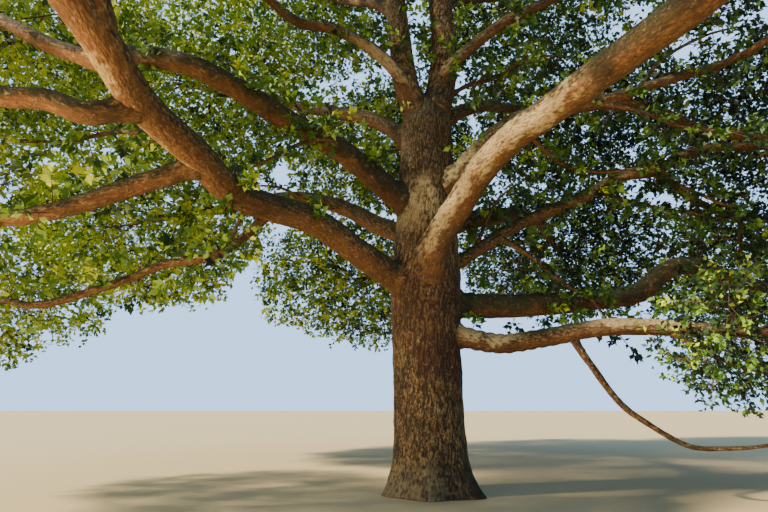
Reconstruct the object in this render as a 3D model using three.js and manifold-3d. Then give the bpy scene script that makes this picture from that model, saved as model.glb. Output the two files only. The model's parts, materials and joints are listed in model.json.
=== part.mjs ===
// An old oak grown in the open: a short, stout trunk that forks low into heavy, wide-spreading boughs, under a broad
// domed crown. Millimetres, +Z up. The origin is the middle of the flat cut under the trunk, at ground level, and
// bearings are read from above, anticlockwise from +X. Every limb is a list of legs, each a length in metres, a
// bearing and a climb in degrees, and it ends where it enters its own mass of foliage.
import * as THREE from "three";
import { mergeVertices } from "three/addons/utils/BufferGeometryUtils.js";
import Module from "manifold-3d";

const M = 1000; // millimetres in a metre
const DEGREE = Math.PI / 180;
const GAP = 0.3; // millimetres between two solids that meet

const TRUNK = {
  height: 7.2, // metres from the ground to the top fork
  radius: 0.6, // at breast height
  taper: 0.1, // lost between the low forks and the top
  forkSwell: 0.03, // where the low boughs leave
  forkHeight: 3.4,
  forkSpan: 0.9, // height over which that swelling dies away
  topDraw: 0.35, // share lost over the last stretch, under the leaders
  topStretch: 0.5,
  lean: [-0.04, 0, 0.05], // of the axis along X, at a third, two thirds and the whole of the height
  flare: 0.16, // added at the ground
  flareHeight: 0.34,
  sides: 20,
  rings: 16,
  ringBunching: 1.6, // over 1, the rings lie closer together towards the foot, where it curves most
};

// The roots that show as buttresses at the foot: bearing, and spread beyond the flare in metres.
const BUTTRESSES = [[-35, 0.22], [-98, 0.1], [-160, 0.13], [128, 0.14], [72, 0.15], [14, 0.12]];
const BUTTRESS = { width: 20, height: 0.42 }; // degrees, and metres in which it dies away

// The boughs: the collar's share of the root radius, then metres, and the radius from which a bough has more sides.
const LIMB = { collar: 0.22, collarLength: 0.35, ringEvery: 1.15, rings: 3, sidesThick: 8, sidesThin: 6, thick: 0.12 };
const BOUGH_ENTERS = 0.86; // share of a mass's half-size at which its bough ends

// A mass: its own space is a flattened ball, and its stem runs from the bough's tip past its middle by that share of
// the way there. The reaches are shares of the mass's size, and the other sizes metres or shares of a length.
const MASS = { stemPast: 0.3, stemTip: 0.25, stemBend: 0.4, sides: 4, rings: 2 };
const TWIG = { count: 4, radius: 0.04, tip: 0.4, ofParent: 0.8, bend: 0.35, reach: [0.32, 0.52], sides: 3, rings: 2 };
const SPRAY = { count: 12, length: [1, 2.4], width: 0.78, thickness: 0.045, sunk: 0.3, roll: 2.4, reach: [0.84, 1] };
const LEAVING = { shares: [0.25, 0.35, 0.45, 0.55, 0.65, 0.75, 0.85, 0.95], turnCost: 1.6 }; // along the parent
const CLEAR = { mass: 0.03, limb: 0.04 }; // share of a mass's size to its neighbour, and metres to a limb
const TRIES = 400; // points tried before a mass is taken as full

// Each limb: its parent, how far along the parent it leaves, its radius at the root and at the tip, its legs, and its
// mass: the bearing and reach of its middle, the height of that, and half its width and depth, in metres and degrees.
const LIMBS = [
  { name: "left_front", parent: "trunk", along: 3.35, root: 0.245, tip: 0.17,
    legs: [[0.6, -157, 24], [1, -141, 22], [1, -137, 20], [1.4, -132, 2], [1.15, -106, 9], [1, -106, 8],
      [0.9, -95, 14]],
    mass: { bearing: -120, reach: 9.4, height: 6.7, wide: 3, deep: 2 } },
  { name: "right_front", parent: "trunk", along: 3.05, root: 0.26, tip: 0.19,
    legs: [[0.75, -82, 54], [0.6, -72, 62], [0.85, -48, 44], [0.65, -62, 32], [0.7, -58, 22], [0.7, -57, 8],
      [0.7, -62, 6], [0.9, -65, 3], [0.75, -67, 2]],
    mass: { bearing: -57, reach: 9.2, height: 7, wide: 3, deep: 2 } },
  { name: "right_level", parent: "trunk", along: 3.17, root: 0.24, tip: 0.14,
    legs: [[0.5, 12, 3], [1.2, 5, 0], [1.5, 3, 5], [0.85, -2, 9], [0.65, -11, 37], [0.55, -2, 8],
      [1.3, 5, -17]],
    mass: { bearing: 3, reach: 9.1, height: 4, wide: 2.7, deep: 2 } },
  { name: "right_low", parent: "trunk", along: 2.65, root: 0.19, tip: 0.13,
    legs: [[0.5, -20, -4], [0.8, -4, -11], [0.8, -17, 6], [0.9, -23, 8], [0.7, -23, -2]],
    mass: { bearing: -20, reach: 5.6, height: 2.45, wide: 2.2, deep: 1.3 } },
  { name: "left_back", parent: "trunk", along: 4.85, root: 0.24, tip: 0.14,
    legs: [[0.7, -161, 31], [1.25, -163, 36], [1.1, -156, 21], [1.15, -141, 15], [1, -142, 5]],
    mass: { bearing: -178, reach: 8.2, height: 8.4, wide: 3.1, deep: 2.2 } },
  { name: "right_behind", parent: "trunk", along: 4.85, root: 0.21, tip: 0.09,
    legs: [[0.75, -30, 48], [0.9, -7, 49], [0.95, 4, 41], [0.9, 6, 18], [0.95, 6, 14], [1.1, 11, -2],
      [1.15, 10, -18], [1.2, 5, -4]],
    mass: { bearing: -1, reach: 9.3, height: 6.9, wide: 2.6, deep: 1.9 } },
  { name: "right_back", parent: "trunk", along: 3.75, root: 0.13, tip: 0.08,
    legs: [[0.6, 13, 21], [1.6, 12, 33], [1.4, 7, 24], [1, -1, 29], [0.8, 4, 11], [1.2, 9, 28], [1.6, 9, 7]],
    mass: { bearing: 20, reach: 9.2, height: 8.5, wide: 3, deep: 2.1 } },
  { name: "back", parent: "trunk", along: 3.7, root: 0.22, tip: 0.12,
    legs: [[1.3, 98, 26], [1.5, 101, 14], [1.5, 103, 6]],
    mass: { bearing: 102, reach: 8.4, height: 5.3, wide: 3.5, deep: 2.2 } },
  { name: "back_left", parent: "trunk", along: 4.4, root: 0.21, tip: 0.12,
    legs: [[1.3, 133, 24], [1.5, 142, 30], [1.5, 149, 18]],
    mass: { bearing: 150, reach: 8.4, height: 6.1, wide: 3.5, deep: 2.4 } },
  { name: "back_right", parent: "trunk", along: 4.5, root: 0.21, tip: 0.11,
    legs: [[1.3, 36, 24], [1.5, 42, 16], [1.5, 50, 6]],
    mass: { bearing: 56, reach: 8.5, height: 6, wide: 3.5, deep: 2.3 } },
  { name: "back_high", parent: "trunk", along: 6, root: 0.17, tip: 0.1,
    legs: [[1.4, 96, 44], [1.4, 95, 28]],
    mass: { bearing: 94, reach: 7.3, height: 9.5, wide: 3.7, deep: 2.4 } },
  { name: "back_left_high", parent: "trunk", along: 6.15, root: 0.18, tip: 0.1,
    legs: [[1.4, 150, 42], [1.4, 148, 26]],
    mass: { bearing: 147, reach: 7.3, height: 10, wide: 3.7, deep: 2.4 } },
  { name: "back_right_high", parent: "trunk", along: 6.5, root: 0.17, tip: 0.09,
    legs: [[1.4, 44, 42], [1.4, 46, 28]],
    mass: { bearing: 49, reach: 7.3, height: 9.9, wide: 3.6, deep: 2.4 } },
  { name: "left_high", parent: "trunk", along: 6.9, root: 0.14, tip: 0.08,
    legs: [[0.65, -145, 54], [1.05, -172, 48], [1, 175, 34], [1, 178, 19]],
    mass: { bearing: -162, reach: 6, height: 11.4, wide: 3.3, deep: 2.2 } },
  { name: "leader_right", parent: "trunk", along: 6.6, root: 0.31, tip: 0.15,
    legs: [[1, 15, 72], [1.2, 20, 84], [1.2, 178, 87], [1.2, 20, 80]],
    mass: { bearing: 18, reach: 2.1, height: 15.1, wide: 3, deep: 2.2 } },
  { name: "leader_left", parent: "trunk", along: 6.6, root: 0.27, tip: 0.13,
    legs: [[1, 188, 68], [1.2, 184, 83], [1.2, 180, 84], [1.2, 200, 74]],
    mass: { bearing: -158, reach: 2.4, height: 14.4, wide: 3, deep: 2.1 } },
  { name: "left_low", parent: "left_front", along: 4.9, root: 0.14, tip: 0.09,
    legs: [[0.9, -166, -26], [0.8, -170, -24], [0.65, -174, -14]],
    mass: { bearing: -157, reach: 8.7, height: 4.1, wide: 2.6, deep: 1.7 } },
  { name: "left_mid", parent: "left_front", along: 6.1, root: 0.13, tip: 0.09,
    legs: [[0.6, -140, -26], [0.4, -163, 12], [0.5, -167, 0]],
    mass: { bearing: -141, reach: 9.4, height: 5.2, wide: 2.5, deep: 1.7 } },
  { name: "left_long", parent: "left_front", along: 3.35, root: 0.075, tip: 0.05,
    legs: [[1, 177, -42], [0.9, -177, -14], [0.5, -174, -25], [0.85, -171, -22], [0.5, -178, -12]],
    mass: { bearing: -177, reach: 8.1, height: 3.3, wide: 2.4, deep: 1.4 } },
  { name: "left_front_up", parent: "left_front", along: 7, root: 0.15, tip: 0.09,
    legs: [[1.1, -90, 52], [1, -96, 50]],
    mass: { bearing: -113, reach: 6.9, height: 9.7, wide: 2.8, deep: 1.9 } },
  { name: "right_front_up", parent: "right_front", along: 6.4, root: 0.14, tip: 0.08,
    legs: [[1, -40, 50], [1, -45, 54]],
    mass: { bearing: -48, reach: 7.3, height: 9.8, wide: 2.9, deep: 1.9 } },
  { name: "right_droop", parent: "right_low", along: 2.5, root: 0.065, tip: 0.02,
    legs: [[0.5, -23, -62], [0.8, -5, -57], [0.5, -18, -41], [0.65, -14, -31], [0.5, -11, -4], [0.6, -11, 5],
      [0.8, -8, 12]] },
  { name: "right_rise", parent: "right_behind", along: 4.4, root: 0.11, tip: 0.07,
    legs: [[1.5, -5, 17], [1.4, -6, 17]],
    mass: { bearing: -22, reach: 8.7, height: 8.8, wide: 2.7, deep: 1.8 } },
  { name: "right_back_low", parent: "right_back", along: 5.4, root: 0.085, tip: 0.06,
    legs: [[1, 17, -30], [0.9, 22, -13], [0.6, 30, -8]],
    mass: { bearing: 25, reach: 9.3, height: 4.9, wide: 2.8, deep: 2 } },
  { name: "left_rise", parent: "left_front", along: 6.7, root: 0.09, tip: 0.06,
    legs: [[0.9, 168, 24], [1, 162, 31], [1, 164, 22]],
    mass: { bearing: -163, reach: 8.4, height: 6.9, wide: 2.7, deep: 1.9 } },
  { name: "front", parent: "right_front", along: 6.9, root: 0.14, tip: 0.08,
    legs: [[1.1, -118, 26], [1.1, -134, 20]],
    mass: { bearing: -92, reach: 8.3, height: 7.1, wide: 2.8, deep: 1.8 } },
  { name: "right_high", parent: "leader_right", along: 1, root: 0.13, tip: 0.08,
    legs: [[0.6, -44, 54], [1.35, -1, 42], [1, -2, 28]],
    mass: { bearing: -6, reach: 6.3, height: 11.4, wide: 3.4, deep: 2.4 } },
  { name: "front_high", parent: "leader_right", along: 3.6, root: 0.13, tip: 0.08,
    legs: [[1.1, -90, 40]],
    mass: { bearing: -92, reach: 5.2, height: 12.4, wide: 3.1, deep: 2 } },
  { name: "top_back_left", parent: "leader_left", along: 2.7, root: 0.14, tip: 0.08,
    legs: [[1.2, 126, 46]],
    mass: { bearing: 128, reach: 4.9, height: 12.8, wide: 3.3, deep: 2.3 } },
  { name: "top_back_right", parent: "leader_right", along: 3, root: 0.14, tip: 0.08,
    legs: [[1.2, 52, 42]],
    mass: { bearing: 50, reach: 5.1, height: 12.9, wide: 3.3, deep: 2.3 } },
];

const BARK = new THREE.MeshStandardMaterial({ color: "#75614d", roughness: 0.95, metalness: 0 });
const LEAF = new THREE.MeshStandardMaterial({ color: "#6f8a34", roughness: 0.7, metalness: 0 });

const wasm = await Module();
wasm.setup();

const lerp = THREE.MathUtils.lerp;
const smoothstep = THREE.MathUtils.smoothstep;

// A step of this length along a bearing and a climb.
function step(length, bearing, climb) {
  const level = length * Math.cos(climb * DEGREE);
  return new THREE.Vector3(
    level * Math.cos(bearing * DEGREE), level * Math.sin(bearing * DEGREE), length * Math.sin(climb * DEGREE),
  ).multiplyScalar(M);
}

// A smooth curve through points.
const curveThrough = (points) => new THREE.CatmullRomCurve3(points, false, "catmullrom");

// A bent, closed tube: a cylinder of unit radius whose rings are laid square to the curve. radiusAt(share of the
// length) is in metres, and grow in millimetres.
function tube(curve, rings, sides, radiusAt, grow = 0) {
  const geometry = new THREE.CylinderGeometry(1, 1, 1, sides, rings);
  const frames = curve.computeFrenetFrames(rings, false);
  const centres = Array.from({ length: rings + 1 }, (_, i) => curve.getPointAt(i / rings));
  const position = geometry.getAttribute("position");
  const point = new THREE.Vector3();
  for (let i = 0; i < position.count; i++) {
    const share = position.getY(i) + 0.5;
    const ring = Math.round(share * rings);
    const x = position.getX(i);
    const z = position.getZ(i);
    const turn = Math.atan2(x, z);
    const radius = Math.hypot(x, z) * (radiusAt(share) * M + grow);
    point.copy(centres[ring])
      .addScaledVector(frames.binormals[ring], radius * Math.sin(turn))
      .addScaledVector(frames.normals[ring], radius * Math.cos(turn));
    position.setXYZ(i, point.x, point.y, point.z);
  }
  return solidOf(geometry);
}

// A closed geometry as a solid that can be cut and joined.
function solidOf(geometry) {
  geometry.deleteAttribute("normal");
  geometry.deleteAttribute("uv");
  const merged = mergeVertices(geometry, 1e-3);
  return new wasm.Manifold(new wasm.Mesh({
    numProp: 3,
    vertProperties: merged.getAttribute("position").array,
    triVerts: new Uint32Array(merged.index.array),
  }));
}

// The largest of the bodies that a cut leaves.
function largest(solid) {
  return solid.decompose().reduce((a, b) => (a.volume() > b.volume() ? a : b));
}

// A solid as a named mesh.
function meshOf(name, solid, material) {
  const made = solid.getMesh();
  const geometry = new THREE.BufferGeometry()
    .setAttribute("position", new THREE.BufferAttribute(new Float32Array(made.vertProperties), 3))
    .setIndex(new THREE.BufferAttribute(new Uint32Array(made.triVerts), 1));
  geometry.computeVertexNormals();
  const mesh = new THREE.Mesh(geometry, material);
  mesh.name = name;
  return mesh;
}

// The trunk's radius in metres: an even bole that swells at the low forks, spreads at the foot into buttresses, and
// draws in at the top under the two leaders.
function trunkRadius(share, turn) {
  const height = share * TRUNK.height;
  const drawnFrom = TRUNK.height - TRUNK.topStretch;
  const swell = TRUNK.forkSwell * Math.exp(-(((height - TRUNK.forkHeight) / TRUNK.forkSpan) ** 2));
  const bole = TRUNK.radius + swell - TRUNK.taper * smoothstep(height, TRUNK.forkHeight, drawnFrom);
  const foot = TRUNK.flare * Math.exp(-height / TRUNK.flareHeight);
  const roots = BUTTRESSES.reduce((sum, [bearing, spread]) => {
    const off = Math.abs(((((turn / DEGREE - bearing) % 360) + 540) % 360) - 180);
    return sum + spread * Math.exp(-((off / BUTTRESS.width) ** 2));
  }, 0) * Math.exp(-height / BUTTRESS.height);
  return (bole + foot + roots) * (1 - TRUNK.topDraw * smoothstep(height, drawnFrom, TRUNK.height));
}

// The trunk stands on the ground, so its lowest ring is level there, or grow below it.
function trunkSolid(curve, grow) {
  const geometry = new THREE.CylinderGeometry(1, 1, 1, TRUNK.sides, TRUNK.rings);
  const position = geometry.getAttribute("position");
  for (let i = 0; i < position.count; i++) {
    const share = position.getY(i) + 0.5;
    const up = share ** TRUNK.ringBunching;
    const centre = curve.getPoint(up);
    // The cylinder's X and Z turn into the level plane; its Y is up.
    const turn = Math.atan2(-position.getZ(i), position.getX(i));
    const radius = Math.hypot(position.getX(i), position.getZ(i)) * (trunkRadius(up, turn) * M + grow);
    position.setXYZ(i, centre.x + radius * Math.cos(turn), centre.y + radius * Math.sin(turn),
      share === 0 ? -grow : centre.z);
  }
  return solidOf(geometry);
}

// A limb's radius in metres: an even taper, with a collar where it leaves its parent.
function limbRadius(limb, share) {
  const [root, tip] = limb.radii;
  const collar = LIMB.collar * root * Math.exp(-(share * limb.length) / LIMB.collarLength);
  return lerp(root, tip, share) + collar;
}

// A limb as a solid, thicker all round by grow, in millimetres.
function limbSolid(limb, grow = 0) {
  if (limb.name === "trunk") return trunkSolid(limb.curve, grow);
  const rings = Math.max(LIMB.rings, Math.round(limb.length / LIMB.ringEvery));
  const sides = limb.radii[0] > LIMB.thick ? LIMB.sidesThick : LIMB.sidesThin;
  return tube(limb.curve, rings, sides, (share) => limbRadius(limb, share), grow);
}

// The seeded numbers, from 0 to 1, that every mass draws from.
function drawer(seed) {
  let state = (seed * 2654435761 + 12345) >>> 0;
  return () => {
    state = (Math.imul(state, 1664525) + 1013904223) >>> 0;
    return state / 4294967296;
  };
}

// The even sequence of numbers from 0 to 1 in this base.
function halton(index, base) {
  let value = 0;
  let part = 1 / base;
  for (let i = index; i > 0; i = Math.floor(i / base)) {
    value += part * (i % base);
    part /= base;
  }
  return value;
}

// How far out of a mass's middle a point is, as a share of the mass's size.
function shareOut(mass, point) {
  const [x, y, z] = ["x", "y", "z"].map((axis) => point[axis] - mass.centre[axis]);
  return Math.sqrt((x * x + y * y) / (mass.wide * mass.wide) + (z * z) / (mass.deep * mass.deep));
}

// True where a point lies in the mass's own space, which stops half way to its neighbours.
function isInside(mass, point) {
  const own = shareOut(mass, point);
  return own <= 1 && masses.every((other) => other === mass || own + CLEAR.mass < shareOut(other, point));
}

// True where a solid keeps to the mass's space, and touches no limb and no piece but the one that it leaves.
function fits(mass, pieces, from, solid) {
  const { vertProperties } = solid.getMesh();
  const corners = Array.from({ length: vertProperties.length / 3 }, (_, i) =>
    new THREE.Vector3().fromArray(vertProperties, 3 * i));
  const middle = corners.reduce((sum, corner) => sum.add(corner), new THREE.Vector3()).divideScalar(corners.length);
  const box = new THREE.Box3().setFromPoints(corners);
  return corners.every((corner) => isInside(mass, corner) && isInside(mass, corner.clone().lerp(middle, 0.5)))
    && limbs.every((limb) => !limb.box.intersectsBox(box) || solid.intersect(limb.cleared).isEmpty())
    && pieces.every((piece) => piece === from.piece || solid.intersect(piece.solid).isEmpty());
}

// The next point that a twig or spray of the mass reaches for, from an even sequence through its space.
function nextPoint(mass, [near, far]) {
  for (let i = 0; i < TRIES; i++) {
    mass.index += 1;
    const bearing = 2 * Math.PI * ((halton(mass.index, 2) + mass.turn) % 1);
    const rise = 2 * ((halton(mass.index, 3) + mass.lift) % 1) - 1;
    const out = lerp(near, far, halton(mass.index, 5));
    const level = Math.sqrt(1 - rise * rise) * mass.wide;
    const point = new THREE.Vector3(level * Math.cos(bearing), level * Math.sin(bearing), rise * mass.deep)
      .multiplyScalar(out).add(mass.centre);
    if (isInside(mass, point)) return point;
  }
  return null;
}

// Where a twig for this point leaves the wood that is there: the place from which it need turn least and reach least.
function leavingPlace(wood, point) {
  let best = null;
  for (const piece of wood) {
    for (const share of LEAVING.shares) {
      const place = piece.curve.getPoint(share);
      const along = piece.curve.getTangent(share);
      const reach = point.clone().sub(place);
      const cost = reach.length() * (LEAVING.turnCost - along.dot(reach.clone().normalize()));
      if (!best || cost < best.cost) best = { cost, piece, place, along, radius: piece.radiusAt(share) };
    }
  }
  return best;
}

// A twig starts along its parent and bends to its point.
function twigCurve(from, point) {
  const bend = from.place.clone().addScaledVector(from.along, TWIG.bend * from.place.distanceTo(point));
  return new THREE.QuadraticBezierCurve3(from.place, bend, point);
}

// A spray of leaves as one long eight-faced blade from its sunk root to its tip.
function blade(root, tip, roll) {
  const along = tip.clone().sub(root);
  const length = along.length();
  along.normalize();
  const across = new THREE.Vector3(-along.y, along.x, 0).normalize().applyAxisAngle(along, roll);
  const through = new THREE.Vector3().crossVectors(across, along);
  const place = new THREE.Matrix4().makeBasis(
    across.multiplyScalar((SPRAY.width * length) / 2),
    along.multiplyScalar(length / 2),
    through.multiplyScalar((SPRAY.thickness * length) / 2),
  ).setPosition(root.clone().add(tip).multiplyScalar(0.5));
  return new THREE.OctahedronGeometry(1).applyMatrix4(place);
}

// A twig from the stem, the first of the wood, to a point.
function twigTo(mass, wood, point) {
  const from = leavingPlace(wood.slice(0, 1), point);
  const curve = twigCurve(from, point);
  const root = Math.min(TWIG.radius, from.radius * TWIG.ofParent);
  const radiusAt = (share) => lerp(root, TWIG.radius * TWIG.tip, share);
  return { from, curve, radiusAt, solid: tube(curve, TWIG.rings, TWIG.sides, radiusAt) };
}

// A spray from the stem or a twig towards a point, or nothing where that is too near.
function sprayTo(mass, wood, point) {
  const from = leavingPlace(wood, point);
  const reach = point.clone().sub(from.place);
  const length = Math.min(reach.length(), SPRAY.length[1] * M);
  if (length < SPRAY.length[0] * M) return null;
  const tip = from.place.clone().add(reach.setLength(length));
  const root = from.place.clone().addScaledVector(reach, (-SPRAY.sunk * from.radius * M) / length);
  return { from, solid: solidOf(blade(root, tip, (mass.draw() - 0.5) * SPRAY.roll)) };
}

// One mass of foliage: a stem, twigs that leave it, and sprays that leave both, all fused.
function massSolid(mass) {
  const radiusAt = (share) => lerp(mass.root, mass.root * MASS.stemTip, share);
  const wood = [{ curve: mass.stem, radiusAt, solid: tube(mass.stem, MASS.rings, MASS.sides, radiusAt) }];
  const pieces = [...wood];
  for (const [kind, made] of [[TWIG, twigTo], [SPRAY, sprayTo]]) {
    for (let n = 0, tries = 0; n < kind.count && tries < TRIES; tries++) {
      const point = nextPoint(mass, kind.reach);
      const piece = point && made(mass, wood, point);
      if (!piece || !fits(mass, pieces, piece.from, piece.solid)) continue;
      pieces.push(piece);
      if (kind === TWIG) wood.push(piece);
      n += 1;
    }
  }
  return largest(wasm.Manifold.union(pieces.map((piece) => piece.solid)));
}

// The trunk and limbs, and the masses that they carry.
const trunkPoints = [0, ...TRUNK.lean].map((x, i, { length }) =>
  new THREE.Vector3(x, 0, (i * TRUNK.height) / (length - 1)).multiplyScalar(M));
const limbs = [{ name: "trunk", curve: curveThrough(trunkPoints), radii: [TRUNK.radius, TRUNK.radius] }];
const masses = [];
for (const row of LIMBS) {
  const parent = limbs.find((limb) => limb.name === row.parent);
  const points = [parent.curve.getPointAt((row.along * M) / parent.curve.getLength())];
  for (const leg of row.legs) points.push(points.at(-1).clone().add(step(...leg)));
  const limb = { name: row.name, radii: [row.root, row.tip] };
  if (row.mass) {
    const { bearing, reach, height, wide, deep } = row.mass;
    const centre = step(reach, bearing, 0).setZ(height * M);
    const mass = { name: row.name, limb, centre, wide: wide * M, deep: deep * M, index: 0, root: row.tip };
    const last = points.at(-1);
    const out = shareOut(mass, last);
    if (out < BOUGH_ENTERS) throw new Error(`${row.name} runs ${(BOUGH_ENTERS - out).toFixed(2)} into its mass`);
    points.push(last.clone().lerp(centre, 1 - BOUGH_ENTERS / out));
    masses.push(mass);
  }
  limb.curve = curveThrough(points);
  limb.length = limb.curve.getLength() / M;
  limbs.push(limb);
}
masses.forEach((mass, i) => {
  mass.draw = drawer(i + 1);
  mass.turn = mass.draw();
  mass.lift = mass.draw();
  const tip = mass.limb.curve.getPoint(1);
  const along = mass.limb.curve.getTangentAt(1);
  const start = tip.clone().addScaledVector(along, GAP);
  const end = mass.centre.clone().lerp(tip, -MASS.stemPast);
  const bend = start.clone().addScaledVector(along, MASS.stemBend * start.distanceTo(end));
  mass.stem = new THREE.QuadraticBezierCurve3(start, bend, end);
});

const tree = new THREE.Group();
const built = [];
for (const limb of limbs) {
  let solid = limbSolid(limb);
  // Where it meets an earlier limb it is cut clear of it.
  for (const earlier of built) {
    const cutter = limbSolid(earlier, GAP);
    if (!solid.intersect(cutter).isEmpty()) solid = largest(solid.subtract(cutter));
  }
  built.push(limb);
  limb.cleared = limbSolid(limb, CLEAR.limb * M);
  const { min, max } = limb.cleared.boundingBox();
  limb.box = new THREE.Box3(new THREE.Vector3(...min), new THREE.Vector3(...max));
  tree.add(meshOf(limb.name === "trunk" ? "trunk" : `bough_${limb.name}`, solid, BARK));
}
for (const mass of masses) tree.add(meshOf(`foliage_${mass.name}`, massSolid(mass), LEAF));

export default tree;
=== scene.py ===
"""An old oak grown in the open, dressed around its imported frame.

The trunk, the boughs and the masses of foliage follow the part's own growth rule, carried on here to bark with
real relief, fine twigs and single leaves. Sizes are in metres, +Z is up, bearings are read from above and
anticlockwise from +X, and bearings and climbs are in degrees.
"""

import json
import logging
import math
from collections.abc import Callable
from dataclasses import dataclass, field
from enum import Enum

import bmesh
import bpy
import numpy as np
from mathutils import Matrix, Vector

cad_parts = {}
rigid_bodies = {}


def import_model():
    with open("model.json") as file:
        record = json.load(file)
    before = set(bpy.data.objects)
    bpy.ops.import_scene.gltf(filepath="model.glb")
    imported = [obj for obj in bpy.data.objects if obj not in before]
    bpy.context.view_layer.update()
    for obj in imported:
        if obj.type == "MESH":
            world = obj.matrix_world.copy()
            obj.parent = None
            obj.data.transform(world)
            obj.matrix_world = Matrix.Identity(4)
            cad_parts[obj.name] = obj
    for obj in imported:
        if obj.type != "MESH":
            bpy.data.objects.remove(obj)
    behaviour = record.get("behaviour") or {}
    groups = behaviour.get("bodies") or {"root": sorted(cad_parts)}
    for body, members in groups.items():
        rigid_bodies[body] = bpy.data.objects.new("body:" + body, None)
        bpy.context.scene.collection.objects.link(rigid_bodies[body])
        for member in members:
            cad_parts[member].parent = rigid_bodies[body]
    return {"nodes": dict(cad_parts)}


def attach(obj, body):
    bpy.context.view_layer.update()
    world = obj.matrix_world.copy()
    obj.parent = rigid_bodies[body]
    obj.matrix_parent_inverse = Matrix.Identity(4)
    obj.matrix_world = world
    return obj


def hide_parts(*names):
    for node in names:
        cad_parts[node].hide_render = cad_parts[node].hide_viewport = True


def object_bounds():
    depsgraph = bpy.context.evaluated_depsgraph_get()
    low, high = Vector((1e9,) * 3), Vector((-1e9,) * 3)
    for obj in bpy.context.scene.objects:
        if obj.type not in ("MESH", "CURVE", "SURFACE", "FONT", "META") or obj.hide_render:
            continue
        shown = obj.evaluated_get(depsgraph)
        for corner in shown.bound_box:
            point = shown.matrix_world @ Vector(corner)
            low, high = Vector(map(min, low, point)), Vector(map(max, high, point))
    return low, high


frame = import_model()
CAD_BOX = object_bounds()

LOG = logging.getLogger("oak")
BODY = "root"
FULL_TURN = 2 * math.pi
UP = np.array([0.0, 0.0, 1.0])
ACROSS = np.array([1.0, 0.0, 0.0])
TINY = 1e-6
WELD = 1e-4
LEAST_LENGTH = 1e-9
Array = np.ndarray
Tree, Socket, Material = bpy.types.NodeTree, bpy.types.NodeSocket, bpy.types.Material
BOX_LOW, BOX_HIGH = (np.array(corner) for corner in CAD_BOX)


@dataclass(frozen=True)
class Space:
    """The flattened ball that a mass of foliage keeps to: its middle, and half its width and depth."""

    bearing: float
    reach: float
    height: float
    wide: float
    deep: float

    @property
    def centre(self) -> Array:
        """The ball's middle."""
        return step(self.reach, self.bearing, 0) + self.height * UP

    @property
    def size(self) -> Array:
        """Half the ball's size each way."""
        return np.array([self.wide, self.wide, self.deep])


@dataclass(frozen=True)
class LimbRow:
    """One limb: its parent, how far along that it leaves, its radii, its legs and its mass of foliage.

    A leg is a length, a bearing and a climb.
    """

    name: str
    parent: str
    along: float
    root: float
    tip: float
    legs: tuple[tuple[float, float, float], ...]
    space: Space | None = None


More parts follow.
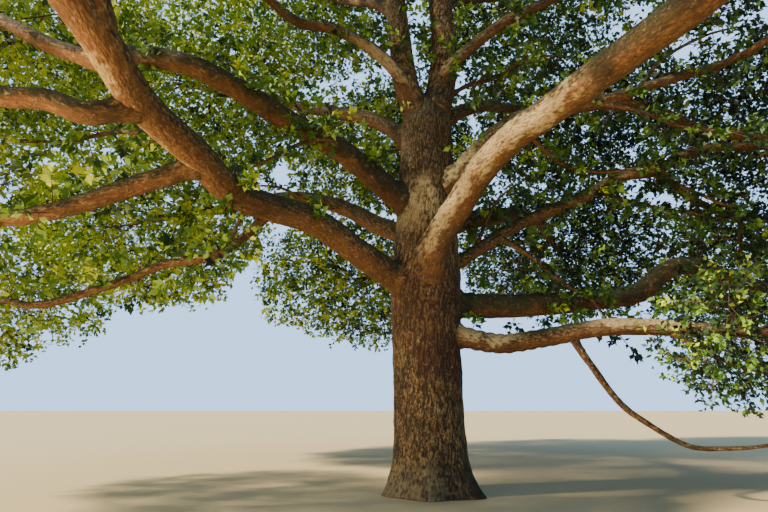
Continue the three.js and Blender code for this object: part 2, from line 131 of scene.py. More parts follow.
LIMB_ROWS = (
    LimbRow("left_front", "trunk", 3.35, 0.245, 0.17,
            ((0.6, -157, 24), (1, -141, 22), (1, -137, 20), (1.4, -132, 2), (1.15, -106, 9), (1, -106, 8),
             (0.9, -95, 14)),
            Space(-120, 9.4, 6.7, 3, 2)),
    LimbRow("right_front", "trunk", 3.05, 0.26, 0.19,
            ((0.75, -82, 54), (0.6, -72, 62), (0.85, -48, 44), (0.65, -62, 32), (0.7, -58, 22),
             (0.7, -57, 8), (0.7, -62, 6), (0.9, -65, 3), (0.75, -67, 2)),
            Space(-57, 9.2, 7, 3, 2)),
    LimbRow("right_level", "trunk", 3.17, 0.24, 0.14,
            ((0.5, 12, 3), (1.2, 5, 0), (1.5, 3, 5), (0.85, -2, 9), (0.65, -11, 37), (0.55, -2, 8),
             (1.3, 5, -17)),
            Space(3, 9.1, 4, 2.7, 2)),
    LimbRow("right_low", "trunk", 2.65, 0.19, 0.13,
            ((0.5, -20, -4), (0.8, -4, -11), (0.8, -17, 6), (0.9, -23, 8), (0.7, -23, -2)),
            Space(-20, 5.6, 2.45, 2.2, 1.3)),
    LimbRow("left_back", "trunk", 4.85, 0.24, 0.14,
            ((0.7, -161, 31), (1.25, -163, 36), (1.1, -156, 21), (1.15, -141, 15), (1, -142, 5)),
            Space(-178, 8.2, 8.4, 3.1, 2.2)),
    LimbRow("right_behind", "trunk", 4.85, 0.21, 0.09,
            ((0.75, -30, 48), (0.9, -7, 49), (0.95, 4, 41), (0.9, 6, 18), (0.95, 6, 14), (1.1, 11, -2),
             (1.15, 10, -18), (1.2, 5, -4)),
            Space(-1, 9.3, 6.9, 2.6, 1.9)),
    LimbRow("right_back", "trunk", 3.75, 0.13, 0.08,
            ((0.6, 13, 21), (1.6, 12, 33), (1.4, 7, 24), (1, -1, 29), (0.8, 4, 11), (1.2, 9, 28),
             (1.6, 9, 7)),
            Space(20, 9.2, 8.5, 3, 2.1)),
    LimbRow("back", "trunk", 3.7, 0.22, 0.12,
            ((1.3, 98, 26), (1.5, 101, 14), (1.5, 103, 6)),
            Space(102, 8.4, 5.3, 3.5, 2.2)),
    LimbRow("back_left", "trunk", 4.4, 0.21, 0.12,
            ((1.3, 133, 24), (1.5, 142, 30), (1.5, 149, 18)),
            Space(150, 8.4, 6.1, 3.5, 2.4)),
    LimbRow("back_right", "trunk", 4.5, 0.21, 0.11,
            ((1.3, 36, 24), (1.5, 42, 16), (1.5, 50, 6)),
            Space(56, 8.5, 6, 3.5, 2.3)),
    LimbRow("back_high", "trunk", 6, 0.17, 0.1,
            ((1.4, 96, 44), (1.4, 95, 28)),
            Space(94, 7.3, 9.5, 3.7, 2.4)),
    LimbRow("back_left_high", "trunk", 6.15, 0.18, 0.1,
            ((1.4, 150, 42), (1.4, 148, 26)),
            Space(147, 7.3, 10, 3.7, 2.4)),
    LimbRow("back_right_high", "trunk", 6.5, 0.17, 0.09,
            ((1.4, 44, 42), (1.4, 46, 28)),
            Space(49, 7.3, 9.9, 3.6, 2.4)),
    LimbRow("left_high", "trunk", 6.9, 0.14, 0.08,
            ((0.65, -145, 54), (1.05, -172, 48), (1, 175, 34), (1, 178, 19)),
            Space(-162, 6, 11.4, 3.3, 2.2)),
    LimbRow("leader_right", "trunk", 6.6, 0.31, 0.15,
            ((1, 15, 72), (1.2, 20, 84), (1.2, 178, 87), (1.2, 20, 80)),
            Space(18, 2.1, 15.1, 3, 2.2)),
    LimbRow("leader_left", "trunk", 6.6, 0.27, 0.13,
            ((1, 188, 68), (1.2, 184, 83), (1.2, 180, 84), (1.2, 200, 74)),
            Space(-158, 2.4, 14.4, 3, 2.1)),
    LimbRow("left_low", "left_front", 4.9, 0.14, 0.09,
            ((0.9, -166, -26), (0.8, -170, -24), (0.65, -174, -14)),
            Space(-157, 8.7, 4.1, 2.6, 1.7)),
    LimbRow("left_mid", "left_front", 6.1, 0.13, 0.09,
            ((0.6, -140, -26), (0.4, -163, 12), (0.5, -167, 0)),
            Space(-141, 9.4, 5.2, 2.5, 1.7)),
    LimbRow("left_long", "left_front", 3.35, 0.075, 0.05,
            ((1, 177, -42), (0.9, -177, -14), (0.5, -174, -25), (0.85, -171, -22), (0.5, -178, -12)),
            Space(-177, 8.1, 3.3, 2.4, 1.4)),
    LimbRow("left_front_up", "left_front", 7, 0.15, 0.09,
            ((1.1, -90, 52), (1, -96, 50)),
            Space(-113, 6.9, 9.7, 2.8, 1.9)),
    LimbRow("right_front_up", "right_front", 6.4, 0.14, 0.08,
            ((1, -40, 50), (1, -45, 54)),
            Space(-48, 7.3, 9.8, 2.9, 1.9)),
    LimbRow("right_droop", "right_low", 2.5, 0.065, 0.02,
            ((0.5, -23, -62), (0.8, -5, -57), (0.5, -18, -41), (0.65, -14, -31), (0.5, -11, -4),
             (0.6, -11, 5), (0.8, -8, 12))),
    LimbRow("right_rise", "right_behind", 4.4, 0.11, 0.07,
            ((1.5, -5, 17), (1.4, -6, 17)),
            Space(-22, 8.7, 8.8, 2.7, 1.8)),
    LimbRow("right_back_low", "right_back", 5.4, 0.085, 0.06,
            ((1, 17, -30), (0.9, 22, -13), (0.6, 30, -8)),
            Space(25, 9.3, 4.9, 2.8, 2)),
    LimbRow("left_rise", "left_front", 6.7, 0.09, 0.06,
            ((0.9, 168, 24), (1, 162, 31), (1, 164, 22)),
            Space(-163, 8.4, 6.9, 2.7, 1.9)),
    LimbRow("front", "right_front", 6.9, 0.14, 0.08,
            ((1.1, -118, 26), (1.1, -134, 20)),
            Space(-92, 8.3, 7.1, 2.8, 1.8)),
    LimbRow("right_high", "leader_right", 1, 0.13, 0.08,
            ((0.6, -44, 54), (1.35, -1, 42), (1, -2, 28)),
            Space(-6, 6.3, 11.4, 3.4, 2.4)),
    LimbRow("front_high", "leader_right", 3.6, 0.13, 0.08,
            ((1.1, -90, 40),),
            Space(-92, 5.2, 12.4, 3.1, 2)),
    LimbRow("top_back_left", "leader_left", 2.7, 0.14, 0.08,
            ((1.2, 126, 46),),
            Space(128, 4.9, 12.8, 3.3, 2.3)),
    LimbRow("top_back_right", "leader_right", 3, 0.14, 0.08,
            ((1.2, 52, 42),),
            Space(50, 5.1, 12.9, 3.3, 2.3)),
)

# Thin branches that the source leaves out: they leave a limb, and carry a few leaves of their own.
BRANCH_ROWS = (
    LimbRow("branch_drop", "right_back", 1.7, 0.05, 0.02,
            ((0.7, -25, -38), (0.8, -12, -44), (0.6, 8, -30), (0.5, 0, -55))),
    LimbRow("branch_level", "right_behind", 4.3, 0.05, 0.02,
            ((0.8, -20, -22), (0.9, -8, -28), (0.9, -12, -12), (0.8, 4, -8))),
    LimbRow("branch_fork", "right_behind", 2.6, 0.055, 0.02,
            ((0.6, 30, -30), (0.8, 16, -34), (0.8, 0, -8), (0.9, -10, 6))),
    LimbRow("branch_left", "left_front", 5.2, 0.05, 0.018,
            ((0.6, 150, 30), (0.7, 170, 12), (0.7, -175, -14), (0.7, -170, -4))),
    LimbRow("branch_down", "left_front", 3.75, 0.03, 0.012,
            ((0.35, 178, -58), (0.35, -170, -72), (0.3, -160, -40))),
    LimbRow("branch_back", "back_left", 2.4, 0.045, 0.018,
            ((0.8, -178, 12), (0.8, -170, 22), (0.8, 175, 6))),
    LimbRow("branch_up", "left_back", 2.6, 0.05, 0.02,
            ((0.8, 150, 58), (0.8, 165, 44), (0.8, 175, 30))),
    LimbRow("branch_right", "leader_right", 0.7, 0.055, 0.02,
            ((0.7, 5, 36), (0.8, 15, 26), (0.8, 2, 34), (0.8, 18, 18))),
    LimbRow("branch_low", "right_low", 4.2, 0.05, 0.02,
            ((0.5, -30, -30), (0.6, -22, -34), (0.7, -30, -20))),
    LimbRow("branch_middle", "leader_right", 1.5, 0.07, 0.02,
            ((0.5, 130, 52), (0.7, 115, 60), (0.8, 80, 52), (0.8, 70, 40))),
    LimbRow("branch_under", "right_back", 4.0, 0.045, 0.016,
            ((0.5, -10, -22), (0.7, 2, -14), (0.7, 8, -6), (0.6, -6, -14))),
    LimbRow("branch_over", "right_rise", 0.9, 0.05, 0.018,
            ((0.5, 20, 58), (0.7, 2, 42), (0.8, -6, 26), (0.8, 8, 20))),
    LimbRow("branch_veil", "left_back", 1.9, 0.05, 0.018,
            ((0.5, -130, 14), (0.6, -150, -22), (0.6, -168, -34), (0.6, 178, -26))),
    LimbRow("branch_inner", "right_back", 1.1, 0.04, 0.015,
            ((0.5, 10, 68), (0.7, 0, 62), (0.7, 20, 38))),
    LimbRow("branch_deep", "right_back_low", 0.3, 0.045, 0.016,
            ((0.5, -20, -34), (0.7, -8, -30), (0.8, 4, -24))),
)


@dataclass(frozen=True)
class SproutRow:
    """Leafy shoots straight out of a limb's bark, between two places along it."""

    limb: str
    first: float
    last: float
    count: int
    longest: float


SPROUT_ROWS = (
    SproutRow("right_level", 0.8, 3.2, 8, 0.3),
    SproutRow("right_level", 3.8, 6.4, 8, 0.5),
    SproutRow("right_low", 0.4, 1.0, 3, 0.3),
    SproutRow("leader_left", 0.3, 2.6, 9, 0.6),
    SproutRow("leader_right", 0.8, 3.0, 9, 0.6),
    SproutRow("right_high", 0.3, 2.4, 8, 0.5),
    SproutRow("left_back", 0.9, 6.4, 34, 0.6),
    SproutRow("left_high", 0.8, 3.6, 10, 0.5),
    SproutRow("right_behind", 1.2, 7.2, 18, 0.5),
    SproutRow("right_back", 1.6, 8.0, 22, 0.5),
    SproutRow("right_back", 3.6, 5.8, 12, 0.5),
    SproutRow("back_right", 0.4, 2.6, 10, 0.6),
    SproutRow("right_rise", 0.3, 3.6, 10, 0.5),
    SproutRow("right_back_low", 0.2, 2.8, 10, 0.5),
    SproutRow("left_long", 0.8, 4.4, 14, 0.5),
    SproutRow("left_front", 2.2, 4.6, 6, 0.35),
    SproutRow("left_low", 0.8, 2.6, 8, 0.5),
)

# The limbs that the photograph shows from near by, which get the finest bark.
NEAR_LIMBS = (
    "left_front", "right_front", "right_level", "right_low", "left_back", "right_behind", "right_back",
)

# The masses that the photograph shows, which get the most leaves.
SEEN_MASSES = (
    "back_left", "back_left_high", "back_right_high", "back_right", "back", "left_back", "back_high",
    "right_level", "right_back_low", "right_back", "right_low", "top_back_left", "top_back_right", "left_long",
    "left_rise", "left_low", "right_behind",
)

# Masses near the camera, whose leaves are seen one by one, so they are nearer to life size and more.
NEAR_MASSES = ("left_low", "left_mid", "left_rise", "left_long", "left_back", "right_low")


class PaintedLightAndMoss(Enum):
    """Painted light on a stretch of bark, by the way that it faces: one of painted sunlight, painted shade and
    mosses with painted shade.
    """

    PAINTED_SUNLIGHT = 0
    PAINTED_SHADE = 1
    MOSS_AND_SHADE = 2


@dataclass(frozen=True)
class PaintedLightAndMossRow:
    """One stretch of a limb's bark with painted sunlight, painted shade or mosses with painted shade: from
    where to where, the way that it faces, and how strongly.

    The narrowness is the least cosine, on the whole, between the bark's own facing and the stretch's.
    """

    limb: str
    kind: PaintedLightAndMoss
    first: float
    last: float
    facing: tuple[float, float, float]
    share: float
    narrowness: float = 0.52


# Painted sunlight on faces turned to the key light, painted shade on faces turned from it and round the
# crotches, and mosses with painted leaf shade.
PAINTED_LIGHT_AND_MOSS_ROWS = (
    PaintedLightAndMossRow("right_front", PaintedLightAndMoss.PAINTED_SUNLIGHT, 0.9, 5.4, (-0.78, -0.5, -0.3), 0.78, 0.74),
    PaintedLightAndMossRow("right_front", PaintedLightAndMoss.PAINTED_SHADE, 5.0, 9.0, (0.3, -0.9, -0.4), 0.3, 0.5),
    PaintedLightAndMossRow("right_front", PaintedLightAndMoss.PAINTED_SHADE, -0.4, 1.1, (0.0, -1.0, -0.3), 0.5, 0.3),
    PaintedLightAndMossRow("left_front", PaintedLightAndMoss.PAINTED_SHADE, -0.4, 0.9, (0.0, -1.0, -0.3), 0.45, 0.3),
    PaintedLightAndMossRow("right_front", PaintedLightAndMoss.MOSS_AND_SHADE, 0.6, 8.0, (-0.3, 0.0, 1.0), 0.6, 0.7),
    # Painted shade of the leaves, as a dark green-brown, on this limb's outer stretch.
    PaintedLightAndMossRow("right_front", PaintedLightAndMoss.MOSS_AND_SHADE, 5.0, 9.0, (-0.5, -0.7, 0.5), 0.9, 0.3),
    PaintedLightAndMossRow("left_front", PaintedLightAndMoss.PAINTED_SUNLIGHT, 4.6, 7.4, (-0.85, -0.1, -0.3), 0.5, 0.7),
    PaintedLightAndMossRow("right_low", PaintedLightAndMoss.PAINTED_SUNLIGHT, 0.2, 1.9, (-0.3, -0.6, 0.6), 0.9),
    PaintedLightAndMossRow("right_low", PaintedLightAndMoss.PAINTED_SUNLIGHT, 2.7, 4.6, (0.0, -0.5, 0.8), 0.7),
    PaintedLightAndMossRow("trunk", PaintedLightAndMoss.PAINTED_SUNLIGHT, 4.3, 5.7, (-0.7, -0.7, 0.0), 0.6, 0.6),
    PaintedLightAndMossRow("trunk", PaintedLightAndMoss.PAINTED_SUNLIGHT, -0.4, 0.7, (-0.85, -0.5, 0.1), 0.3),
    PaintedLightAndMossRow("right_behind", PaintedLightAndMoss.PAINTED_SUNLIGHT, 0.2, 1.8, (-0.7, -0.3, 0.6), 0.8),
    PaintedLightAndMossRow("right_back", PaintedLightAndMoss.PAINTED_SUNLIGHT, 3.6, 9.0, (-0.2, -0.6, 0.6), 0.6),
    PaintedLightAndMossRow("right_back_low", PaintedLightAndMoss.PAINTED_SUNLIGHT, 0.2, 3.0, (-0.2, -0.5, 0.7), 0.7),
    PaintedLightAndMossRow("left_high", PaintedLightAndMoss.PAINTED_SUNLIGHT, 0.5, 2.5, (-0.3, -0.6, -0.4), 0.5),
    PaintedLightAndMossRow("right_high", PaintedLightAndMoss.PAINTED_SUNLIGHT, 0.1, 1.2, (-0.6, -0.5, 0.6), 0.6),
    PaintedLightAndMossRow("trunk", PaintedLightAndMoss.PAINTED_SHADE, 1.6, 2.9, (0.75, -0.65, 0.0), 0.9),
    PaintedLightAndMossRow("trunk", PaintedLightAndMoss.PAINTED_SHADE, 2.4, 4.1, (-0.2, -1.0, 0.0), 0.6, 0.3),
    PaintedLightAndMossRow("trunk", PaintedLightAndMoss.PAINTED_SHADE, -0.3, 0.6, (0.5, -0.8, 0.0), 0.5),
    PaintedLightAndMossRow("trunk", PaintedLightAndMoss.PAINTED_SHADE, 5.6, 7.2, (0.8, -0.6, 0.0), 0.4),
    PaintedLightAndMossRow("trunk", PaintedLightAndMoss.MOSS_AND_SHADE, 4.4, 7.4, (-0.2, -1.0, 0.0), 0.4, 0.1),
    PaintedLightAndMossRow("left_front", PaintedLightAndMoss.MOSS_AND_SHADE, 0.4, 8.0, (0.4, -0.3, 1.0), 0.6, 0.5),
    PaintedLightAndMossRow("right_level", PaintedLightAndMoss.MOSS_AND_SHADE, 0.0, 7.0, (0.0, -0.8, 0.6), 1.0, 0.35),
    PaintedLightAndMossRow("left_back", PaintedLightAndMoss.MOSS_AND_SHADE, 0.0, 7.0, (0.1, -0.8, 0.6), 1.0, 0.3),
    PaintedLightAndMossRow("left_mid", PaintedLightAndMoss.MOSS_AND_SHADE, 0.3, 3.0, (0.0, -0.6, 0.7), 1.0),
    PaintedLightAndMossRow("left_low", PaintedLightAndMoss.MOSS_AND_SHADE, 0.3, 3.0, (0.0, -0.3, 0.9), 0.8),
)

# How far the folds round the collar run where it is farther than elsewhere.
FOLDED_LENGTHS = {"right_low": 1.0, "right_front": 0.8}


def unit(vectors: Array) -> Array:
    """The vectors at unit length."""
    return vectors / np.maximum(np.linalg.norm(vectors, axis=-1, keepdims=True), LEAST_LENGTH)


def smoothstep(value: Array, low: float, high: float) -> Array:
    """A smooth rise from 0 at low to 1 at high."""
    share = np.clip((value - low) / (high - low), 0, 1)
    return share * share * (3 - 2 * share)


def step(length: float, bearing: float, climb: float) -> Array:
    """A step through space.

    Args:
        length: how long it is.
        bearing: its bearing.
        climb: how steeply it climbs.

    Returns:
        The step.
    """
    level = length * math.cos(math.radians(climb))
    return np.array([
        level * math.cos(math.radians(bearing)),
        level * math.sin(math.radians(bearing)),
        length * math.sin(math.radians(climb)),
    ])


def halton(index: Array, base: int) -> Array:
    """The even sequence of numbers from 0 to 1 in one base.

    Args:
        index: places in the sequence.
        base: the base, a prime.

    Returns:
        The number at each place.
    """
    value, part = np.zeros(len(index)), 1.0 / base
    while (index > 0).any():
        value += part * (index % base)
        index = index // base
        part /= base
    return value


def gaps(points: Array, centres: Array, radii: Array) -> Array:
    """How far outside a row of balls each point is.

    Args:
        points: the points.
        centres: the balls' middles.
        radii: their radii.

    Returns:
        The distances, less than nothing inside a ball.
    """
    square = (points**2).sum(axis=1)[:, None] + (centres**2).sum(axis=1) - 2 * points @ centres.T
    return (np.sqrt(np.maximum(square, 0)) - radii).min(axis=1)


class Draw:
    """The growth rule's own seeded numbers, from 0 to 1."""

    SPAN = 2**32
    SEED_FACTOR, SEED_OFFSET = 2654435761, 12345
    FACTOR, OFFSET = 1664525, 1013904223

    def __init__(self, seed: int) -> None:
        """Starts the row of numbers for this seed."""
        self.state = (seed * self.SEED_FACTOR + self.SEED_OFFSET) % self.SPAN

    def __call__(self) -> float:
        """The next number."""
        self.state = (self.state * self.FACTOR + self.OFFSET) % self.SPAN
        return self.state / self.SPAN


class Noise:
    """Smooth seeded noise in space, from about -0.7 to 0.7, one unit to a cell."""

    CELLS = 256

    def __init__(self, seed: int) -> None:
        """Deals the cells' corners their slopes."""
        draw = np.random.default_rng(seed)
        self.order = draw.permutation(self.CELLS)
        self.slopes = unit(draw.normal(size=(self.CELLS, 3)))

    def __call__(self, points: Array) -> Array:
        """The noise in space.

        Args:
            points: where it is read.

        Returns:
            The noise at each point.
        """
        cell = np.floor(points).astype(np.int64)
        inner = points - cell
        fade = inner**3 * (inner * (inner * 6 - 15) + 10)
        total = np.zeros(len(points))
        for corner in np.ndindex(2, 2, 2):
            x, y, z = ((cell + corner) % self.CELLS).T
            index = self.order[(self.order[(self.order[x] + y) % self.CELLS] + z) % self.CELLS]
            pull = ((inner - corner) * self.slopes[index]).sum(axis=1)
            total += pull * np.prod(np.where(corner, fade, 1 - fade), axis=1)
        return total


class Curve:
    """A line through space, read by a parameter or by its share of the length, both from 0 to 1."""

    DIVISIONS = 200
    NUDGE = 1e-4

    def at(self, parameter: Array) -> Array:
        """The places at these parameters."""
        raise NotImplementedError

    def heading(self, parameter: Array) -> Array:
        """The unit directions at these parameters."""
        late = np.clip(parameter + self.NUDGE, 0, 1)
        early = np.clip(parameter - self.NUDGE, 0, 1)
        return unit(self.at(late) - self.at(early))

    def measured(self) -> tuple[Array, Array]:
        """Even parameters, and the length of the curve up to each."""
        parameters = np.linspace(0, 1, self.DIVISIONS + 1)
        spans = np.linalg.norm(np.diff(self.at(parameters), axis=0), axis=1)
        return parameters, np.concatenate([[0.0], np.cumsum(spans)])

    def at_share(self, share: Array) -> Array:
        """The places at these shares of the length."""
        parameters, lengths = self.measured()
        return self.at(np.interp(np.asarray(share) * lengths[-1], lengths, parameters))

    @property
    def length(self) -> float:
        """The length of the curve."""
        return float(self.measured()[1][-1])


class Through(Curve):
    """A smooth curve through points."""

    def __init__(self, points: list[Array]) -> None:
        """Adds a point past each end, in line with the two there."""
        first = 2 * points[0] - points[1]
        last = 2 * points[-1] - points[-2]
        self.points = np.array([first, *points, last])

    def at(self, parameter: Array) -> Array:
        """The places at these parameters.

        Args:
            parameter: the parameters.

        Returns:
            A place for each.
        """
        spans = len(self.points) - 3
        place = np.clip(np.atleast_1d(parameter), 0, 1) * spans
        index = np.minimum(place.astype(int), spans - 1)
        share = (place - index)[:, None]
        before, start, end, after = (self.points[index + k] for k in range(4))
        leave, arrive = (end - before) / 2, (after - start) / 2
        square = 3 * (end - start) - 2 * leave - arrive
        cube = 2 * (start - end) + leave + arrive
        return start + share * (leave + share * (square + share * cube))


class Bend(Curve):
    """A curve that leaves its start towards a middle point and ends at its end."""

    def __init__(self, start: Array, middle: Array, end: Array) -> None:
        """Keeps the three points."""
        self.start, self.middle, self.end = start, middle, end

    def at(self, parameter: Array) -> Array:
        """The places at these parameters."""
        t = np.atleast_1d(parameter)[:, None]
        return (1 - t) ** 2 * self.start + 2 * t * (1 - t) * self.middle + t * t * self.end


@dataclass(eq=False)
class Limb:
    """A bough or a branch: a tapering limb round a curve.

    Its radii are at the root, where a collar swells it, and at the tip. Its stem is what runs on from the tip
    into the limb's mass of foliage, and the stem's end is a share of the tip's radius.
    """

    name: str
    curve: Curve
    root: float
    tip: float
    stem: Curve | None = None
    stem_end: float = 0.25
    collar: float = 0.22
    collar_length: float = 0.35
    sample: float = 0.05
    fewest_samples: int = 8

    def __post_init__(self) -> None:
        """Measures the limb."""
        self.length = self.curve.length
        shares = np.linspace(0, 1, max(self.fewest_samples, round(self.length / self.sample)))
        self.centres = self.curve.at_share(shares)
        self.radii = self.radius(shares)

    def radius(self, share: Array) -> Array:
        """The radius at these shares of the length, with the collar at the root."""
        collar = self.collar * self.root * np.exp(-share * self.length / self.collar_length)
        return self.root + (self.tip - self.root) * share + collar

    def distance(self, points: Array) -> Array:
        """How far outside the limb each point is, and less than nothing inside it."""
        return gaps(points, self.centres, self.radii)


@dataclass(eq=False)
class Trunk(Limb):
    """The trunk: an even bole that swells at the low forks, spreads into buttresses and draws in at the top.

    A buttress is its bearing and how far it spreads.
    """

    name: str = "trunk"
    curve: Curve = field(init=False)
    root: float = 0.6
    tip: float = 0.6
    height: float = 7.2
    taper: float = 0.1
    fork_swell: float = 0.03
    fork_height: float = 3.4
    fork_span: float = 0.9
    top_draw: float = 0.35
    top_stretch: float = 0.5
    lean: tuple[float, ...] = (-0.04, 0.0, 0.05)
    flare: float = 0.16
    flare_height: float = 0.34
    buttresses: tuple[tuple[float, float], ...] = (
        (-35, 0.22), (-98, 0.1), (-160, 0.13), (128, 0.14), (72, 0.15), (14, 0.12),
    )
    buttress_width: float = 20
    buttress_height: float = 0.42

    def __post_init__(self) -> None:
        """Lays the trunk's middle line and measures it."""
        rises = np.linspace(0, self.height, len(self.lean) + 1)
        self.curve = Through([np.array([x, 0.0, z]) for x, z in zip((0.0, *self.lean), rises)])
        super().__post_init__()

    def bole(self, height: Array, turn: Array) -> Array:
        """The trunk's radius.

        Args:
            height: heights above the ground.
            turn: bearings there, in radians.

        Returns:
            The radius at each.
        """
        drawn_from = self.height - self.top_stretch
        swell = self.fork_swell * np.exp(-(((height - self.fork_height) / self.fork_span) ** 2))
        bole = self.root + swell - self.taper * smoothstep(height, self.fork_height, drawn_from)
        foot = self.flare * np.exp(-height / self.flare_height)
        for bearing, spread in self.buttresses:
            off = (np.degrees(turn) - bearing + 180) % 360 - 180
            rib = np.exp(-((off / self.buttress_width) ** 2))
            foot = foot + spread * rib * np.exp(-height / self.buttress_height)
        return (bole + foot) * (1 - self.top_draw * smoothstep(height, drawn_from, self.height))

    def distance(self, points: Array) -> Array:
        """How far outside the trunk points are.

        Args:
            points: the points.

        Returns:
            The distances, less than nothing inside it.
        """
        height = np.clip(points[:, 2], 0, self.height)
        offset = points - self.curve.at(height / self.height)
        beside = np.hypot(offset[:, 0], offset[:, 1])
        beside = beside - self.bole(height, np.arctan2(offset[:, 1], offset[:, 0]))
        over = np.maximum(points[:, 2] - self.height, 0)
        return np.where(over > 0, np.hypot(np.maximum(beside, 0), over), beside)


@dataclass(eq=False)
class Mass:
    """One mass of foliage: the limb that carries it, the space that it keeps to and its number in their row."""

    limb: Limb
    space: Space
    number: int
    stem_past: float = 0.3
    stem_bend: float = 0.4
    stem_gap: float = 0.0003

    def __post_init__(self) -> None:
        """Places the mass."""
        self.name = self.limb.name
        self.centre, self.size = self.space.centre, self.space.size
        draw = Draw(self.number)
        self.turn, self.lift = draw(), draw()
        self.index = 0

    def grow_stem(self) -> None:
        """Runs the stem on from the limb's tip, past the middle of the mass."""
        tip = self.limb.curve.at(1.0)[0]
        along = self.limb.curve.heading(np.array([1.0]))[0]
        start = tip + self.stem_gap * along
        end = self.centre + (self.centre - tip) * self.stem_past
        middle = start + along * self.stem_bend * np.linalg.norm(end - start)
        self.limb.stem = Bend(start, middle, end)

    @property
    def volume(self) -> float:
        """The volume of the ball that the mass keeps to."""
        return 2 / 3 * FULL_TURN * float(np.prod(self.size))

    def share_out(self, points: Array) -> Array:
        """How far out of the mass's middle the points are, as a share of its size."""
        return np.linalg.norm((points - self.centre) / self.size, axis=-1)


@dataclass(eq=False)
class Skeleton:
    """The trunk, the limbs, the thin branches and the masses, grown from their rows."""

    enters: float = 0.86
    clear_of_mass: float = 0.03

    def __post_init__(self) -> None:
        """Grows every limb from its parent, and gives each mass its stem."""
        self.trunk = Trunk()
        self.limbs: list[Limb] = [self.trunk]
        self.masses: list[Mass] = []
        for row in LIMB_ROWS:
            self.limbs.append(self.grow(row))
        self.branches = [self.grow(row) for row in BRANCH_ROWS]
        for mass in self.masses:
            mass.grow_stem()

    def limb(self, name: str) -> Limb:
        """The limb of this name."""
        return next(limb for limb in self.limbs if limb.name == name)

    def grow(self, row: LimbRow) -> Limb:
        """Grows one limb, up to where it enters its mass if it has one.

        Args:
            row: the limb's row.

        Returns:
            The limb.
        """
        parent = self.limb(row.parent)
        points = [parent.curve.at_share([row.along / parent.length])[0]]
        for leg in row.legs:
            points.append(points[-1] + step(*leg))
        if row.space is None:
            return Limb(row.name, Through(points), row.root, row.tip)
        away = row.space.centre - points[-1]
        out = float(np.linalg.norm(away / row.space.size))
        points.append(points[-1] + away * (1 - self.enters / out))
        limb = Limb(row.name, Through(points), row.root, row.tip)
        self.masses.append(Mass(limb, row.space, len(self.masses) + 1))
        return limb

    def inside(self, mass: Mass, points: Array, most: float = 1.0) -> Array:
        """Tells which points are in the mass's own space, which stops half way to its neighbours.

        Args:
            mass: the mass.
            points: the points.
            most: how far out the space may go, as a share of the mass's size.

        Returns:
            True for each point that is.
        """
        middles = np.array([other.centre for other in self.masses])
        sizes = np.array([other.size for other in self.masses])
        shares = np.linalg.norm((points[:, None] - middles) / sizes, axis=2)
        index = self.masses.index(mass)
        own = shares[:, index].copy()
        shares[:, index] = np.inf
        return (own <= most) & (own + self.clear_of_mass < shares.min(axis=1))


class Path:
    """A limb's middle line with its stem, as rings that follow it without a twist."""

    STEEP = 0.9

    def __init__(self, limb: Limb) -> None:
        """Samples the limb, then the stem that runs on from its tip."""
        centres, radii = limb.centres, limb.radii
        if limb.stem is not None:
            shares = np.linspace(0, 1, round(limb.stem.length / limb.sample))
            centres = np.vstack([centres, limb.stem.at_share(shares)[1:]])
            radii = np.concatenate([radii, limb.tip * (1 + (limb.stem_end - 1) * shares[1:])])
        self.centres, self.radii = centres, radii
        self.lengths = np.concatenate([[0.0], np.cumsum(np.linalg.norm(np.diff(centres, axis=0), axis=1))])
        self.headings = unit(np.gradient(centres, axis=0))
        side = unit(np.cross(self.headings[0], UP if abs(self.headings[0][2]) < self.STEEP else ACROSS))
        self.sides = np.empty_like(centres)
        for index, heading in enumerate(self.headings):
            side = unit(side - heading * (side @ heading))
            self.sides[index] = side

    @property
    def end(self) -> float:
        """The whole length."""
        return float(self.lengths[-1])

    def between(self, values: Array, lengths: Array) -> Array:
        """The samples' values at these lengths."""
        return np.stack([np.interp(lengths, self.lengths, column) for column in values.T], axis=1)

    def rings(self, lengths: Array, turn: Array) -> tuple[Array, Array, Array]:
        """Where a ring stands, which way it faces and how wide it is.

        Args:
            lengths: how far along the path each point is.
            turn: its angle round the path, in radians.

        Returns:
            The centres, the outward directions and the radii.
        """
        headings = unit(self.between(self.headings, lengths))
        sides = self.between(self.sides, lengths)
        sides = unit(sides - headings * (sides * headings).sum(axis=1, keepdims=True))
        outward = np.cos(turn)[:, None] * sides + np.sin(turn)[:, None] * np.cross(headings, sides)
        return self.between(self.centres, lengths), outward, np.interp(lengths, self.lengths, self.radii)


